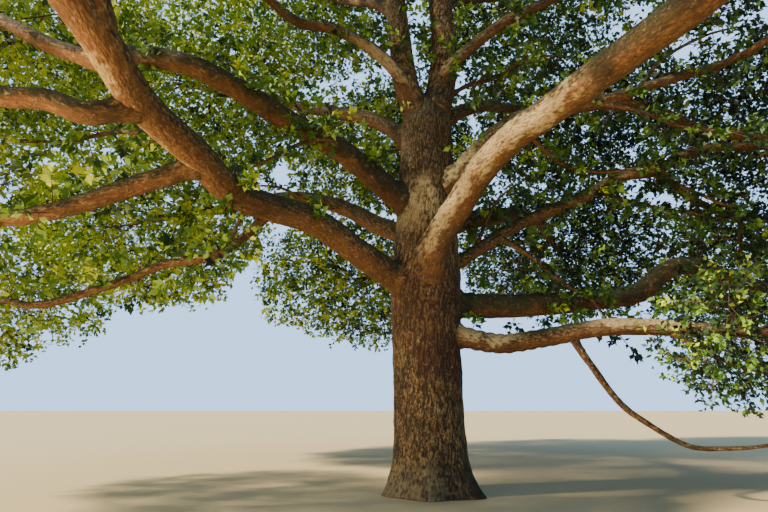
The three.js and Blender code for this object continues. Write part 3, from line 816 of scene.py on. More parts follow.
@dataclass(frozen=True)
class BarkPattern:
    """Interlaced ridges that run along a limb, parted by narrow furrows and cut across by cracks."""

    LEAST_SPACING, SPACING_GROWTH = 0.03, 0.035
    LEAST_STRETCH, STRETCH_GROWTH = 1.4, 6
    DEPTH_SHARE = 0.34

    seed: int
    spacing: float
    depth: float
    stretch: float = 6.0
    sway: float = 0.9
    sway_size: float = 3.5
    furrow: float = 0.17
    crack: float = 0.1
    cracked: float = 0.3
    crack_scale: tuple[float, float, float] = (0.7, 0.7, 3.0)
    grain_scale: tuple[float, float, float] = (2.3, 2.3, 1.6)
    grain_base: float = 0.85
    grain_share: float = 0.5
    mean: float = 0.7

    @classmethod
    def for_limb(cls, radius: float, seed: int) -> "BarkPattern":
        """Broad, deep ridges on old thick wood, and finer ones on younger."""
        spacing = cls.LEAST_SPACING + cls.SPACING_GROWTH * radius
        return cls(seed, spacing, cls.DEPTH_SHARE * spacing, cls.LEAST_STRETCH + cls.STRETCH_GROWTH * radius)

    def ridges(self, place: Array) -> Array:
        """The relief of the bark.

        Args:
            place: places round and along a limb.

        Returns:
            The height at each, from 0 in a furrow to 1 on a ridge.
        """
        scale = np.array([1, 1, 1 / self.stretch]) / self.spacing
        sway = np.zeros_like(place)
        for axis in (0, 1):
            sway[:, axis] = Noise(self.seed + axis)(place * scale / self.sway_size)
        place = place + sway * self.sway * self.spacing
        plate = smoothstep(np.abs(Noise(self.seed + 2)(place * scale)), 0, self.furrow)
        crack = smoothstep(np.abs(Noise(self.seed + 3)(place * scale * self.crack_scale)), 0, self.crack)
        grain = self.grain_base + self.grain_share * Noise(self.seed + 4)(place * scale * self.grain_scale)
        return np.clip(plate * (1 - self.cracked + self.cracked * crack) * grain, 0, 1)


def read_corners(mesh: bpy.types.Mesh) -> Array:
    """The places of a mesh's corners."""
    corners = np.empty(len(mesh.vertices) * 3, dtype=np.float32)
    mesh.vertices.foreach_get("co", corners)
    return corners.reshape(-1, 3).astype(float)


def write_corners(mesh: bpy.types.Mesh, corners: Array) -> None:
    """Moves a mesh's corners."""
    mesh.vertices.foreach_set("co", corners.astype(np.float32).ravel())
    mesh.update()


def add_attribute(mesh: bpy.types.Mesh, name: str, values: Array) -> None:
    """Keeps a value or a vector for each corner of a mesh.

    Args:
        mesh: the mesh.
        name: the attribute's name.
        values: what it holds for each corner.
    """
    kind, field_name = ("FLOAT", "value") if values.ndim == 1 else ("FLOAT_VECTOR", "vector")
    attribute = mesh.attributes.new(name, kind, "POINT")
    attribute.data.foreach_set(field_name, values.astype(np.float32).ravel())


def sleeve(around: int, along: int) -> bpy.types.Mesh:
    """A closed sleeve of unit radius, one high, as a grid rolled up and capped.

    Args:
        around: how many stretches it has round it.
        along: how many it has along it.

    Returns:
        The mesh.
    """
    made = bmesh.new()
    bmesh.ops.create_grid(made, x_segments=around, y_segments=along, size=0.5)
    for corner in made.verts:
        turn = FULL_TURN * (corner.co.x + 0.5)
        corner.co = (math.cos(turn), math.sin(turn), corner.co.y + 0.5)
    rim = [corner for corner in made.verts if corner.is_boundary]
    bmesh.ops.remove_doubles(made, verts=rim, dist=WELD)
    bmesh.ops.holes_fill(made, edges=[edge for edge in made.edges if edge.is_boundary], sides=0)
    mesh = bpy.data.meshes.new("sleeve")
    made.to_mesh(mesh)
    made.free()
    return mesh


def add_piece(name: str, mesh: bpy.types.Mesh, slot: str, *nodes: str) -> bpy.types.Object:
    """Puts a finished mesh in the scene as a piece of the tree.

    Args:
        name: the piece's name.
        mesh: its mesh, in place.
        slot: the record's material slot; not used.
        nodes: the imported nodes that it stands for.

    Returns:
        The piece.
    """
    mesh.name = name
    piece = bpy.data.objects.new(name, mesh)
    bpy.context.scene.collection.objects.link(piece)
    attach(piece, BODY)
    if nodes:
        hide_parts(*nodes)
    LOG.info("%s: %d faces", name, len(mesh.polygons))
    return piece


@dataclass
class Skin:
    """The bark of one limb: a sleeve round it, filleted to what it leaves, with its ridges in relief."""

    PATCH_SEED, LUMP_SEED = 700, 900

    limb: Limb
    earlier: list[Limb]
    seed: int
    fine: bool = True
    across_ridge: float = 2.6
    coarse: float = 1.6
    ring_step: float = 3.0
    fewest_around: int = 10
    fewest_rings: int = 8
    fillet_share: float = 0.55
    fillet_reach: float = 2.0
    settle: int = 5
    settle_share: float = 0.6
    buried: float = 1.2
    lumps: float = 0.06
    lump_size: float = 0.35
    fold: float = 0.055
    fold_height: float = 0.035
    fold_waves: tuple[tuple[float, int], ...] = ((0.3, 3), (0.2, 5))
    crease: float = 0.7
    folded: float = 0.35
    sink: float = 0.3
    least_depth: float = 0.3
    painted_light_end: float = 0.5
    patch_sizes: tuple[float, ...] = (0.3, 0.08, 0.03)
    patch_shares: tuple[float, ...] = (1.0, 0.6, 0.4)
    patch_edge: float = 0.16

    def __post_init__(self) -> None:
        """Chooses the bark's pattern for the limb's thickness."""
        self.pattern = BarkPattern.for_limb(self.limb.root, 10 * self.seed)

    @property
    def across(self) -> float:
        """How far apart the sleeve's corners are round the limb."""
        return self.pattern.spacing / self.across_ridge * (1 if self.fine else self.coarse)

    def start(self, path: Path) -> float:
        """Finds where the skin starts.

        Args:
            path: the limb's path.

        Returns:
            How far along it the limb is still well inside what it leaves.
        """
        inside = np.zeros(len(path.centres), dtype=bool)
        for other in self.earlier:
            inside |= other.distance(path.centres) < -self.buried * self.limb.root
        return float(path.lengths[max(int(np.argmin(inside)) - 1, 0)])

    def fillet(self, points: Array, outward: Array, lengths: Array) -> Array:
        """How far each point moves out so that the limb runs smoothly into what it leaves.

        Args:
            points: the points on the even limb.
            outward: the way that each faces.
            lengths: how far along the limb each is.

        Returns:
            The distances.
        """
        span = self.fillet_share * self.limb.root
        near = lengths < lengths.min() + self.fillet_reach
        push = np.zeros(len(points))
        for _ in range(self.settle):
            moved = points[near] + outward[near] * push[near, None]
            gap = np.min([other.distance(moved) for other in self.earlier], axis=0)
            wanted = np.square(math.sqrt(span) - np.sqrt(np.minimum(np.abs(gap), span)))
            push[near] += self.settle_share * (wanted - push[near])
        return push

    def folds(self, lengths: Array, turn: Array, start: float) -> Array:
        """Folds round the collar, where the limb's weight has creased its bark.

        Args:
            lengths: how far along the limb each point is.
            turn: its angle round the limb.
            start: where the limb leaves its parent.

        Returns:
            Their heights, from -1 in a crease to 1 on a fold.
        """
        wave = lengths / self.fold
        for share, waves in self.fold_waves:
            wave = wave + share * np.sin(waves * turn)
        wave = np.sin(FULL_TURN * wave)
        rise = smoothstep(lengths, start, start + self.folded / 2)
        fall = 1 - smoothstep(lengths, start + self.folded, start + 3 * self.folded)
        return wave * rise * fall

    def painted_light_and_moss(self, points: Array, outward: Array, lengths: Array) -> Array:
        """How much painted sunlight, painted shade and mosses with painted shade the bark gets at each corner,
        by the way that it faces, in ragged patches.

        Args:
            points: the corners.
            outward: the way that each faces.
            lengths: how far along the limb each is.

        Returns:
            The three shares of each corner.
        """
        ragged = sum(
            share * Noise(self.seed + self.PATCH_SEED + index)(points / size)
            for index, (size, share) in enumerate(zip(self.patch_sizes, self.patch_shares))
        )
        shares = np.zeros((len(points), len(PaintedLightAndMoss)))
        for row in PAINTED_LIGHT_AND_MOSS_ROWS:
            if row.limb == self.limb.name:
                turned = outward @ unit(np.array(row.facing)) + ragged
                turned = smoothstep(turned, row.narrowness - self.patch_edge, row.narrowness + self.patch_edge)
                begun = smoothstep(lengths, row.first, row.first + self.painted_light_end)
                ended = smoothstep(lengths, row.last - self.painted_light_end, row.last)
                column = shares[:, row.kind.value]
                np.maximum(column, row.share * turned * begun * (1 - ended), out=column)
        return shares

    def relief(
        self, mesh: bpy.types.Mesh, points: Array, outward: Array, place: Array, share: Array,
        folds: Array | float = 0.0,
    ) -> None:
        """Raises the lumps and ridges, and keeps for the finish what it reads at each corner.

        Args:
            mesh: the limb's sleeve.
            points: its corners on the even limb.
            outward: the way that each corner faces.
            place: each corner's place round and along the limb.
            share: the limb's radius there as a share of its radius at the root.
            folds: the folds' heights there.
        """
        ridge = self.pattern.ridges(place) * (1 + self.crease * np.minimum(folds, 0))
        lumps = self.lumps * self.limb.root * Noise(self.seed + self.LUMP_SEED)(points / self.lump_size)
        depth = self.pattern.depth * np.clip(share, self.least_depth, 1)
        raised = lumps + depth * (ridge - self.pattern.mean) + self.fold_height * self.limb.root * folds
        write_corners(mesh, points + outward * raised[:, None])
        add_attribute(mesh, "ridge", ridge)
        add_attribute(mesh, "grain", place)
        add_attribute(mesh, "painted_light_and_moss", self.painted_light_and_moss(points, outward, place[:, 2]))
        mesh.shade_smooth()

    def build(self) -> bpy.types.Mesh:
        """The finished mesh."""
        path = Path(self.limb)
        start = self.start(path)
        girth = FULL_TURN * float(path.radii.mean())
        rings = (path.end - start) / (self.ring_step * self.across)
        around = max(self.fewest_around, round(girth / self.across))
        mesh = sleeve(around, max(self.fewest_rings, round(rings)))
        unit_place = read_corners(mesh)
        turn = np.arctan2(unit_place[:, 1], unit_place[:, 0])
        lengths = start + unit_place[:, 2] * (path.end - start)
        centres, outward, radii = path.rings(lengths, turn)
        rooted = smoothstep(lengths, start, start + self.limb.root)
        radii = radii * (1 - self.sink * (1 - rooted))
        points = centres + outward * radii[:, None]
        if self.earlier:
            points += outward * (rooted * self.fillet(points, outward, lengths))[:, None]
        place = np.stack([radii * np.cos(turn), radii * np.sin(turn), lengths], axis=1)
        self.relief(mesh, points, outward, place, radii / self.limb.root, self.folds(lengths, turn, start))
        return mesh


@dataclass
class TrunkSkin(Skin):
    """The trunk's bark: its rings are level, and stand on the ground."""

    ring_height: float = 0.034

    def build(self) -> bpy.types.Mesh:
        """The finished mesh."""
        trunk: Trunk = self.limb
        girth = FULL_TURN * trunk.root
        mesh = sleeve(round(girth / self.across), round(trunk.height / self.ring_height))
        unit_place = read_corners(mesh)
        turn = np.arctan2(unit_place[:, 1], unit_place[:, 0])
        height = unit_place[:, 2] * trunk.height
        outward = np.stack([np.cos(turn), np.sin(turn), np.zeros_like(turn)], axis=1)
        points = trunk.curve.at(unit_place[:, 2]) + outward * trunk.bole(height, turn)[:, None]
        place = np.stack([*(trunk.root * outward[:, :2].T), height], axis=1)
        self.relief(mesh, points, outward, place, np.ones_like(turn))
        return mesh


def joined_mesh(
    corners: Array, faces: Array, finishes: list[Material], dealt: Array | None = None
) -> bpy.types.Mesh:
    """A mesh of many small things from arrays.

    Args:
        corners: the corners' places.
        faces: three corner numbers for each face.
        finishes: the mesh's materials.
        dealt: the number of the material that each face has, or None where there is one.

    Returns:
        The mesh.
    """
    mesh = bpy.data.meshes.new("joined")
    mesh.vertices.add(len(corners))
    mesh.vertices.foreach_set("co", corners.astype(np.float32).ravel())
    mesh.loops.add(faces.size)
    mesh.loops.foreach_set("vertex_index", faces.astype(np.int32).ravel())
    mesh.polygons.add(len(faces))
    mesh.polygons.foreach_set("loop_start", np.arange(0, faces.size, 3, dtype=np.int32))
    for finish in finishes:
        mesh.materials.append(finish)
    if dealt is not None:
        mesh.polygons.foreach_set("material_index", dealt.astype(np.int32))
    mesh.update(calc_edges=True)
    return mesh


@dataclass
class Sticks:
    """Three-sided tapering twigs gathered as arrays, to be made one mesh."""

    sides: int = 3
    aside: tuple[float, float, float] = (0.31, 0.17, 0.94)
    corners: list[Array] = field(default_factory=list)
    faces: list[Array] = field(default_factory=list)
    count: int = 0

    def around(self, headings: Array) -> Array:
        """The corners' directions round each heading.

        Args:
            headings: the twigs' unit directions.

        Returns:
            A direction for each corner of each.
        """
        side = unit(np.cross(headings, self.aside))
        turns = np.arange(self.sides) * FULL_TURN / self.sides
        across = np.cross(headings, side)
        return np.cos(turns)[:, None] * side[:, None] + np.sin(turns)[:, None] * across[:, None]

    def add(self, curve: Curve, root: float, tip: float, rings: int) -> None:
        """Adds a twig round a curve.

        Args:
            curve: its middle line.
            root: its radius at the root.
            tip: its radius at the tip.
            rings: how many stretches it has.
        """
        share = np.linspace(0, 1, rings + 1)
        ring = self.around(curve.heading(share))
        corners = curve.at(share)[:, None] + ring * (root + (tip - root) * share)[:, None, None]
        side, rows = np.arange(self.sides), self.count + np.arange(rings)[:, None] * self.sides
        low, beside = rows + side, rows + (side + 1) % self.sides
        high, over = low + self.sides, beside + self.sides
        walls = np.stack([low, beside, over, low, over, high], axis=-1)
        last = self.count + rings * self.sides
        caps = np.array([[self.count, self.count + 2, self.count + 1], [last, last + 1, last + 2]])
        self.corners.append(corners.reshape(-1, 3))
        self.faces += [walls.reshape(-1, 3), caps]
        self.count += (rings + 1) * self.sides

    def add_points(self, starts: Array, ends: Array, roots: Array) -> None:
        """Adds many short straight twigs that run to a point.

        Args:
            starts: where each starts.
            ends: where each ends.
            roots: their radii at the root.
        """
        ring = self.around(unit(ends - starts)) * roots[:, None, None]
        corners = np.concatenate([starts[:, None] + ring, ends[:, None]], axis=1)
        first = self.count + np.arange(len(starts))[:, None, None] * (self.sides + 1)
        faces = first + np.array([[0, 1, 3], [1, 2, 3], [2, 0, 3], [0, 2, 1]])
        self.corners.append(corners.reshape(-1, 3))
        self.faces.append(faces.reshape(-1, 3))
        self.count += corners.shape[0] * corners.shape[1]

    def mesh(self, finish: Material) -> bpy.types.Mesh:
        """All the twigs as one mesh."""
        return joined_mesh(np.vstack(self.corners), np.vstack(self.faces), [finish])


class Tone(Enum):
    """The greens that the sprays are dealt, from the lightest to the darkest: painted sunlit and painted shaded
    copies of the summer green.
    """

    SUNLIT = 0
    LIGHT = 1
    MID = 2
    DEEP = 3
    SHADED = 4


def dealt_tones(light: Array) -> Array:
    """The number of each spray's tone, from how much painted light it gets, from 0 to 1."""
    return np.clip(np.floor((1 - light) * len(Tone)), 0, len(Tone) - 1)


@dataclass
class Leaves:
    """Oak leaves gathered as arrays, to be made one mesh: lobed blades of four faces round their twigs.

    They are longer than life, because there are three hundred thousand in place of far more.
    """

    seed: int
    length: float = 0.15
    sizes: tuple[float, float] = (0.75, 1.2)
    places: tuple[float, ...] = (0.22, 0.4, 0.55, 0.68, 0.8, 0.9, 1.0, 1.0, 1.0)
    spreads: tuple[float, ...] = (68, 64, 60, 56, 52, 46, 62, 34, 12)
    turn: float = 137.5
    spread_range: tuple[float, float] = (0.8, 1.2)
    flatten: float = 0.7
    droop: float = 0.12
    tilt: float = 1.4
    outline: tuple[tuple[float, float, float], ...] = (
        (0.0, 0.0, 0.0), (0.52, 0.31, 0.03), (0.66, 0.15, 0.02),
        (1.0, 0.0, -0.1), (0.62, -0.15, 0.02), (0.46, -0.29, 0.05),
    )
    blades: tuple[tuple[int, int, int], ...] = ((0, 2, 1), (0, 4, 2), (0, 5, 4), (2, 4, 3))
    bases: list[Array] = field(default_factory=list)
    axes: list[Array] = field(default_factory=list)
    tones: list[Array] = field(default_factory=list)

    def __post_init__(self) -> None:
        """Starts the seeded numbers."""
        self.draw = np.random.default_rng(self.seed)

    def add(self, starts: Array, ends: Array, tones: Array) -> None:
        """Adds the leaves of many twigs, alternate along each and gathered at its tip.

        Args:
            starts: where each twig starts.
            ends: where each ends.
            tones: each twig's tone.
        """
        twigs, each = len(starts), len(self.places)
        heading = np.repeat(unit(ends - starts), each, axis=0)
        base = (starts[:, None] + (ends - starts)[:, None] * np.array(self.places)[:, None]).reshape(-1, 3)
        first = self.draw.random(twigs)[:, None] * FULL_TURN
        turn = (first + np.arange(each) * math.radians(self.turn)).ravel()
        level = unit(np.cross(heading, UP) + TINY)
        rising = np.cross(level, heading)
        spread = np.tile(np.radians(self.spreads), twigs)
        spread = spread * self.draw.uniform(*self.spread_range, twigs * each)
        radial = unit(np.cos(turn)[:, None] * level + (self.flatten * np.sin(turn))[:, None] * rising)
        along = unit(np.cos(spread)[:, None] * heading + np.sin(spread)[:, None] * radial - self.droop * UP)
        facing = UP + self.tilt * self.draw.normal(size=(twigs * each, 3))
        facing = unit(facing - along * (facing * along).sum(axis=1, keepdims=True))
        size = self.length * self.draw.uniform(*self.sizes, twigs * each)
        self.bases.append(base)
        self.axes.append(np.stack([along, np.cross(facing, along), facing], axis=1) * size[:, None, None])
        self.tones.append(np.repeat(tones, each))

    def keep(self, allowed: Callable[[Array], Array]) -> None:
        """Drops every leaf whose middle or tip isn't allowed.

        Args:
            allowed: tells which of many points a leaf may reach.
        """
        base, axes, tone = np.vstack(self.bases), np.vstack(self.axes), np.concatenate(self.tones)
        kept = allowed(base + axes[:, 0]) & allowed(base + 0.5 * axes[:, 0])
        self.bases, self.axes, self.tones = [base[kept]], [axes[kept]], [tone[kept]]

    def mesh(self, finishes: list[Material]) -> bpy.types.Mesh:
        """All the leaves as one mesh."""
        base, axes, tone = np.vstack(self.bases), np.vstack(self.axes), np.concatenate(self.tones)
        corners = base[:, None] + np.array(self.outline) @ axes
        first = np.arange(len(base))[:, None, None] * len(self.outline)
        faces = (first + np.array(self.blades)).reshape(-1, 3)
        return joined_mesh(corners.reshape(-1, 3), faces, finishes, np.repeat(tone, len(self.blades)))


@dataclass
class Wood:
    """The wood of one mass, and where on it a new twig may leave."""

    shares: tuple[float, ...] = (0.25, 0.35, 0.45, 0.55, 0.65, 0.75, 0.85, 0.95)
    turn_cost: float = 1.6

    def __post_init__(self) -> None:
        """Starts with none."""
        self.places = np.empty((0, 3))
        self.headings = np.empty((0, 3))
        self.radii = np.empty(0)

    def add(self, curve: Curve, root: float, tip: float) -> None:
        """Adds a stem or a twig.

        Args:
            curve: its middle line.
            root: its radius at the root.
            tip: its radius at the tip.
        """
        shares = np.array(self.shares)
        self.places = np.vstack([self.places, curve.at(shares)])
        self.headings = np.vstack([self.headings, curve.heading(shares)])
        self.radii = np.concatenate([self.radii, root + (tip - root) * shares])

    def leave(self, points: Array, from_stem: bool = False) -> tuple[Array, Array, Array]:
        """Where twigs for these points leave the wood, so that each turns and reaches least.

        Args:
            points: where the twigs are to reach.
            from_stem: whether they may leave the stem alone.

        Returns:
            The places, the wood's headings and its radii there.
        """
        rows = slice(0, len(self.shares) if from_stem else None)
        reach = points[:, None] - self.places[rows]
        cost = self.turn_cost * np.linalg.norm(reach, axis=2) - (reach * self.headings[rows]).sum(axis=2)
        best = cost.argmin(axis=1)
        return self.places[best], self.headings[best], self.radii[best]


@dataclass(frozen=True)
class TwigOrder:
    """One order of twigs in a mass: how many, how far out they reach, and how thick and long they are.

    The first orders have a count, as in the source. The last have so many tries for each cubic metre.
    """

    reach: tuple[float, float]
    lengths: tuple[float, float]
    root: float
    rings: int
    count: int = 0
    tries: float = 0.0
    from_stem: bool = False


@dataclass
class Foliage:
    """A mass grown in full by the source's rule: twigs of every order, and leaves along the last of them.

    A twig's late point is what its start, its bend and its end make of the place six tenths along it.
    """

    EDGE_SEED, CLUMP_SEED, DRAW_SEED = 500, 600, 700

    skeleton: Skeleton
    mass: Mass
    boughlets: TwigOrder = TwigOrder((0.32, 0.52), (0.0, 9.0), 0.04, 5, count=4, from_stem=True)
    branchlets: TwigOrder = TwigOrder((0.84, 1.0), (1.0, 2.4), 0.024, 4, count=12)
    twigs: TwigOrder = TwigOrder((0.35, 1.03), (0.35, 1.5), 0.012, 2, tries=2.6)
    shoots: TwigOrder = TwigOrder((0.3, 1.1), (0.12, 0.7), 0.0055, 1, tries=9.0)
    of_parent: float = 0.8
    taper: float = 0.4
    bend: float = 0.35
    late: tuple[float, float, float] = (0.16, 0.48, 0.36)
    clear: float = 0.03
    leaf_clear: float = 0.012
    inset: float = 0.06
    near_tries: float = 6.0
    near_leaf: float = 0.105
    seen_tries: float = 3.2
    far_leaf: float = 0.18
    near_limbs: float = 1.15
    patience: int = 3000
    most: float = 1.1
    mean_edge: float = 0.98
    ragged: float = 0.28
    ragged_size: float = 0.9
    fine_share: float = 0.5
    fine_scale: float = 2.3
    clump: float = 1.1
    clump_flatness: float = 2.0
    clump_gap: float = -0.32
    # How much painted light a spray gets: painted sunlight towards -X, high up and at the crown's edge, and
    # painted shade towards +X.
    mean_light: float = 0.34
    side_light: float = 0.44
    high_light: float = 0.24
    outer_light: float = 0.2
    light_spread: float = 0.25

    def __post_init__(self) -> None:
        """Gets the mass ready to grow."""
        seed = self.skeleton.masses.index(self.mass) + 1
        self.wood, self.sticks, self.leaves = Wood(), Sticks(), Leaves(seed)
        self.tries = self.shoots.tries
        if self.mass.name in NEAR_MASSES:
            self.leaves.length, self.tries = self.near_leaf, self.shoots.tries * self.near_tries
        elif self.mass.name in SEEN_MASSES:
            self.tries = self.shoots.tries * self.seen_tries
        else:
            self.leaves.length = self.far_leaf
        self.edge_noise, self.clump_noise = Noise(self.EDGE_SEED + seed), Noise(self.CLUMP_SEED + seed)
        self.draw = np.random.default_rng(self.DRAW_SEED + seed)
        near = [
            limb for limb in self.skeleton.limbs
            if (self.mass.share_out(limb.centres) < self.near_limbs).any()
        ]
        self.limb_centres = np.vstack([limb.centres[::2] for limb in near])
        self.limb_radii = np.concatenate([limb.radii[::2] for limb in near])
        self.low_reach = np.minimum(self.mass.size, (self.mass.centre - BOX_LOW - self.inset) / self.most)
        self.high_reach = np.minimum(self.mass.size, (BOX_HIGH - self.mass.centre - self.inset) / self.most)

    def free(self, points: Array, margin: float) -> Array:
        """Tells which points are in the mass's own ragged space and clear of every limb.

        Args:
            points: the points.
            margin: how far clear they have to be.

        Returns:
            True for each point that is.
        """
        away = points - self.mass.centre
        away = away / np.where(away < 0, self.low_reach, self.high_reach)
        place = points / self.ragged_size
        rough = self.edge_noise(place) + self.fine_share * self.edge_noise(self.fine_scale * place)
        edge = np.minimum(self.most, self.mean_edge - self.ragged * rough)
        fits = self.skeleton.inside(self.mass, points, self.most) & (np.linalg.norm(away, axis=1) < edge)
        fits[fits] = gaps(points[fits], self.limb_centres, self.limb_radii) > margin
        return fits

    def points(self, reach: tuple[float, float], count: int) -> Array:
        """The next points of an even sequence through the mass, without those outside its own space.

        Args:
            reach: how far out they lie, as shares of the mass's size.
            count: how many are taken from it.

        Returns:
            The points that are left.
        """
        mass = self.mass
        index = mass.index + 1 + np.arange(count)
        mass.index += count
        bearing = FULL_TURN * ((halton(index, 2) + mass.turn) % 1)
        rise = 2 * ((halton(index, 3) + mass.lift) % 1) - 1
        out = np.cbrt(reach[0] ** 3 + (reach[1] ** 3 - reach[0] ** 3) * halton(index, 5))
        level = np.sqrt(1 - rise**2)
        place = np.stack([level * np.cos(bearing), level * np.sin(bearing), rise], axis=1)
        points = mass.centre + out[:, None] * place * mass.size
        return points[self.skeleton.inside(mass, points, max(1.0, reach[1]))]

    def reached(self, order: TwigOrder, points: Array) -> tuple[Array, Array, Array, Array]:
        """The twigs of an order that can reach towards these points.

        Args:
            order: the order.
            points: what the twigs reach for.

        Returns:
            Where they start, the way they set out, where they end, and their radii at the root.
        """
        places, headings, radii = self.wood.leave(points, order.from_stem)
        length = np.linalg.norm(points - places, axis=1)
        shortest, longest = order.lengths
        ends = places + (points - places) * np.minimum(1, longest / np.maximum(length, TINY))[:, None]
        span = np.linalg.norm(ends - places, axis=1)[:, None]
        middles = places + headings * self.bend * span
        late = self.late[0] * places + self.late[1] * middles + self.late[2] * ends
        fits = (length > shortest) & self.free(late, self.clear) & self.free(ends, self.clear)
        roots = np.minimum(order.root, radii * self.of_parent)
        return places[fits], headings[fits], ends[fits], roots[fits]

    def grow_twigs(self, order: TwigOrder) -> None:
        """Grows an order of bent twigs, one after another where it has a count, or else all at once.

        Args:
            order: the order.
        """
        made = 0
        tries = self.patience if order.count else 1
        number = 1 if order.count else round(order.tries * self.mass.volume)
        for _ in range(tries):
            for start, heading, end, root in zip(*self.reached(order, self.points(order.reach, number))):
                curve = Bend(start, start + heading * self.bend * np.linalg.norm(end - start), end)
                self.wood.add(curve, root, root * self.taper)
                self.sticks.add(curve, root, root * self.taper, order.rings)
                made += 1
            if order.count and made == order.count:
                break

    def grow_shoots(self) -> None:
        """Grows the last twigs, which carry the leaves, in flat clumps with gaps between them."""
        points = self.points(self.shoots.reach, round(self.tries * self.mass.volume))
        clump = self.clump_noise(points * [1, 1, self.clump_flatness] / self.clump)
        starts, _, ends, roots = self.reached(self.shoots, points[clump > self.clump_gap])
        self.sticks.add_points(starts, ends, roots)
        self.leaves.add(starts, ends, self.tone(ends))
        self.leaves.keep(lambda points: self.free(points, self.leaf_clear))

    def tone(self, ends: Array) -> Array:
        """The tone of each spray: painted light high up, at the crown's edge and towards -X, where the key
        light comes from, and painted shade towards +X, with a random spread.

        Args:
            ends: where the sprays' twigs end.

        Returns:
            The number of each one's tone.
        """
        across, up = ends[:, 0] / BOX_HIGH[0], ends[:, 2] / BOX_HIGH[2]
        light = self.mean_light - self.side_light * across + self.high_light * up
        light += self.outer_light * self.mass.share_out(ends)
        light += self.draw.normal(0, self.light_spread, len(ends))
        return dealt_tones(light)

    def grow(self) -> None:
        """Grows every order of twigs, then the leaves."""
        tip = self.mass.limb.tip
        self.wood.add(self.mass.limb.stem, tip, tip * self.mass.limb.stem_end)
        for order in (self.boughlets, self.branchlets, self.twigs):
            self.grow_twigs(order)
        self.grow_shoots()


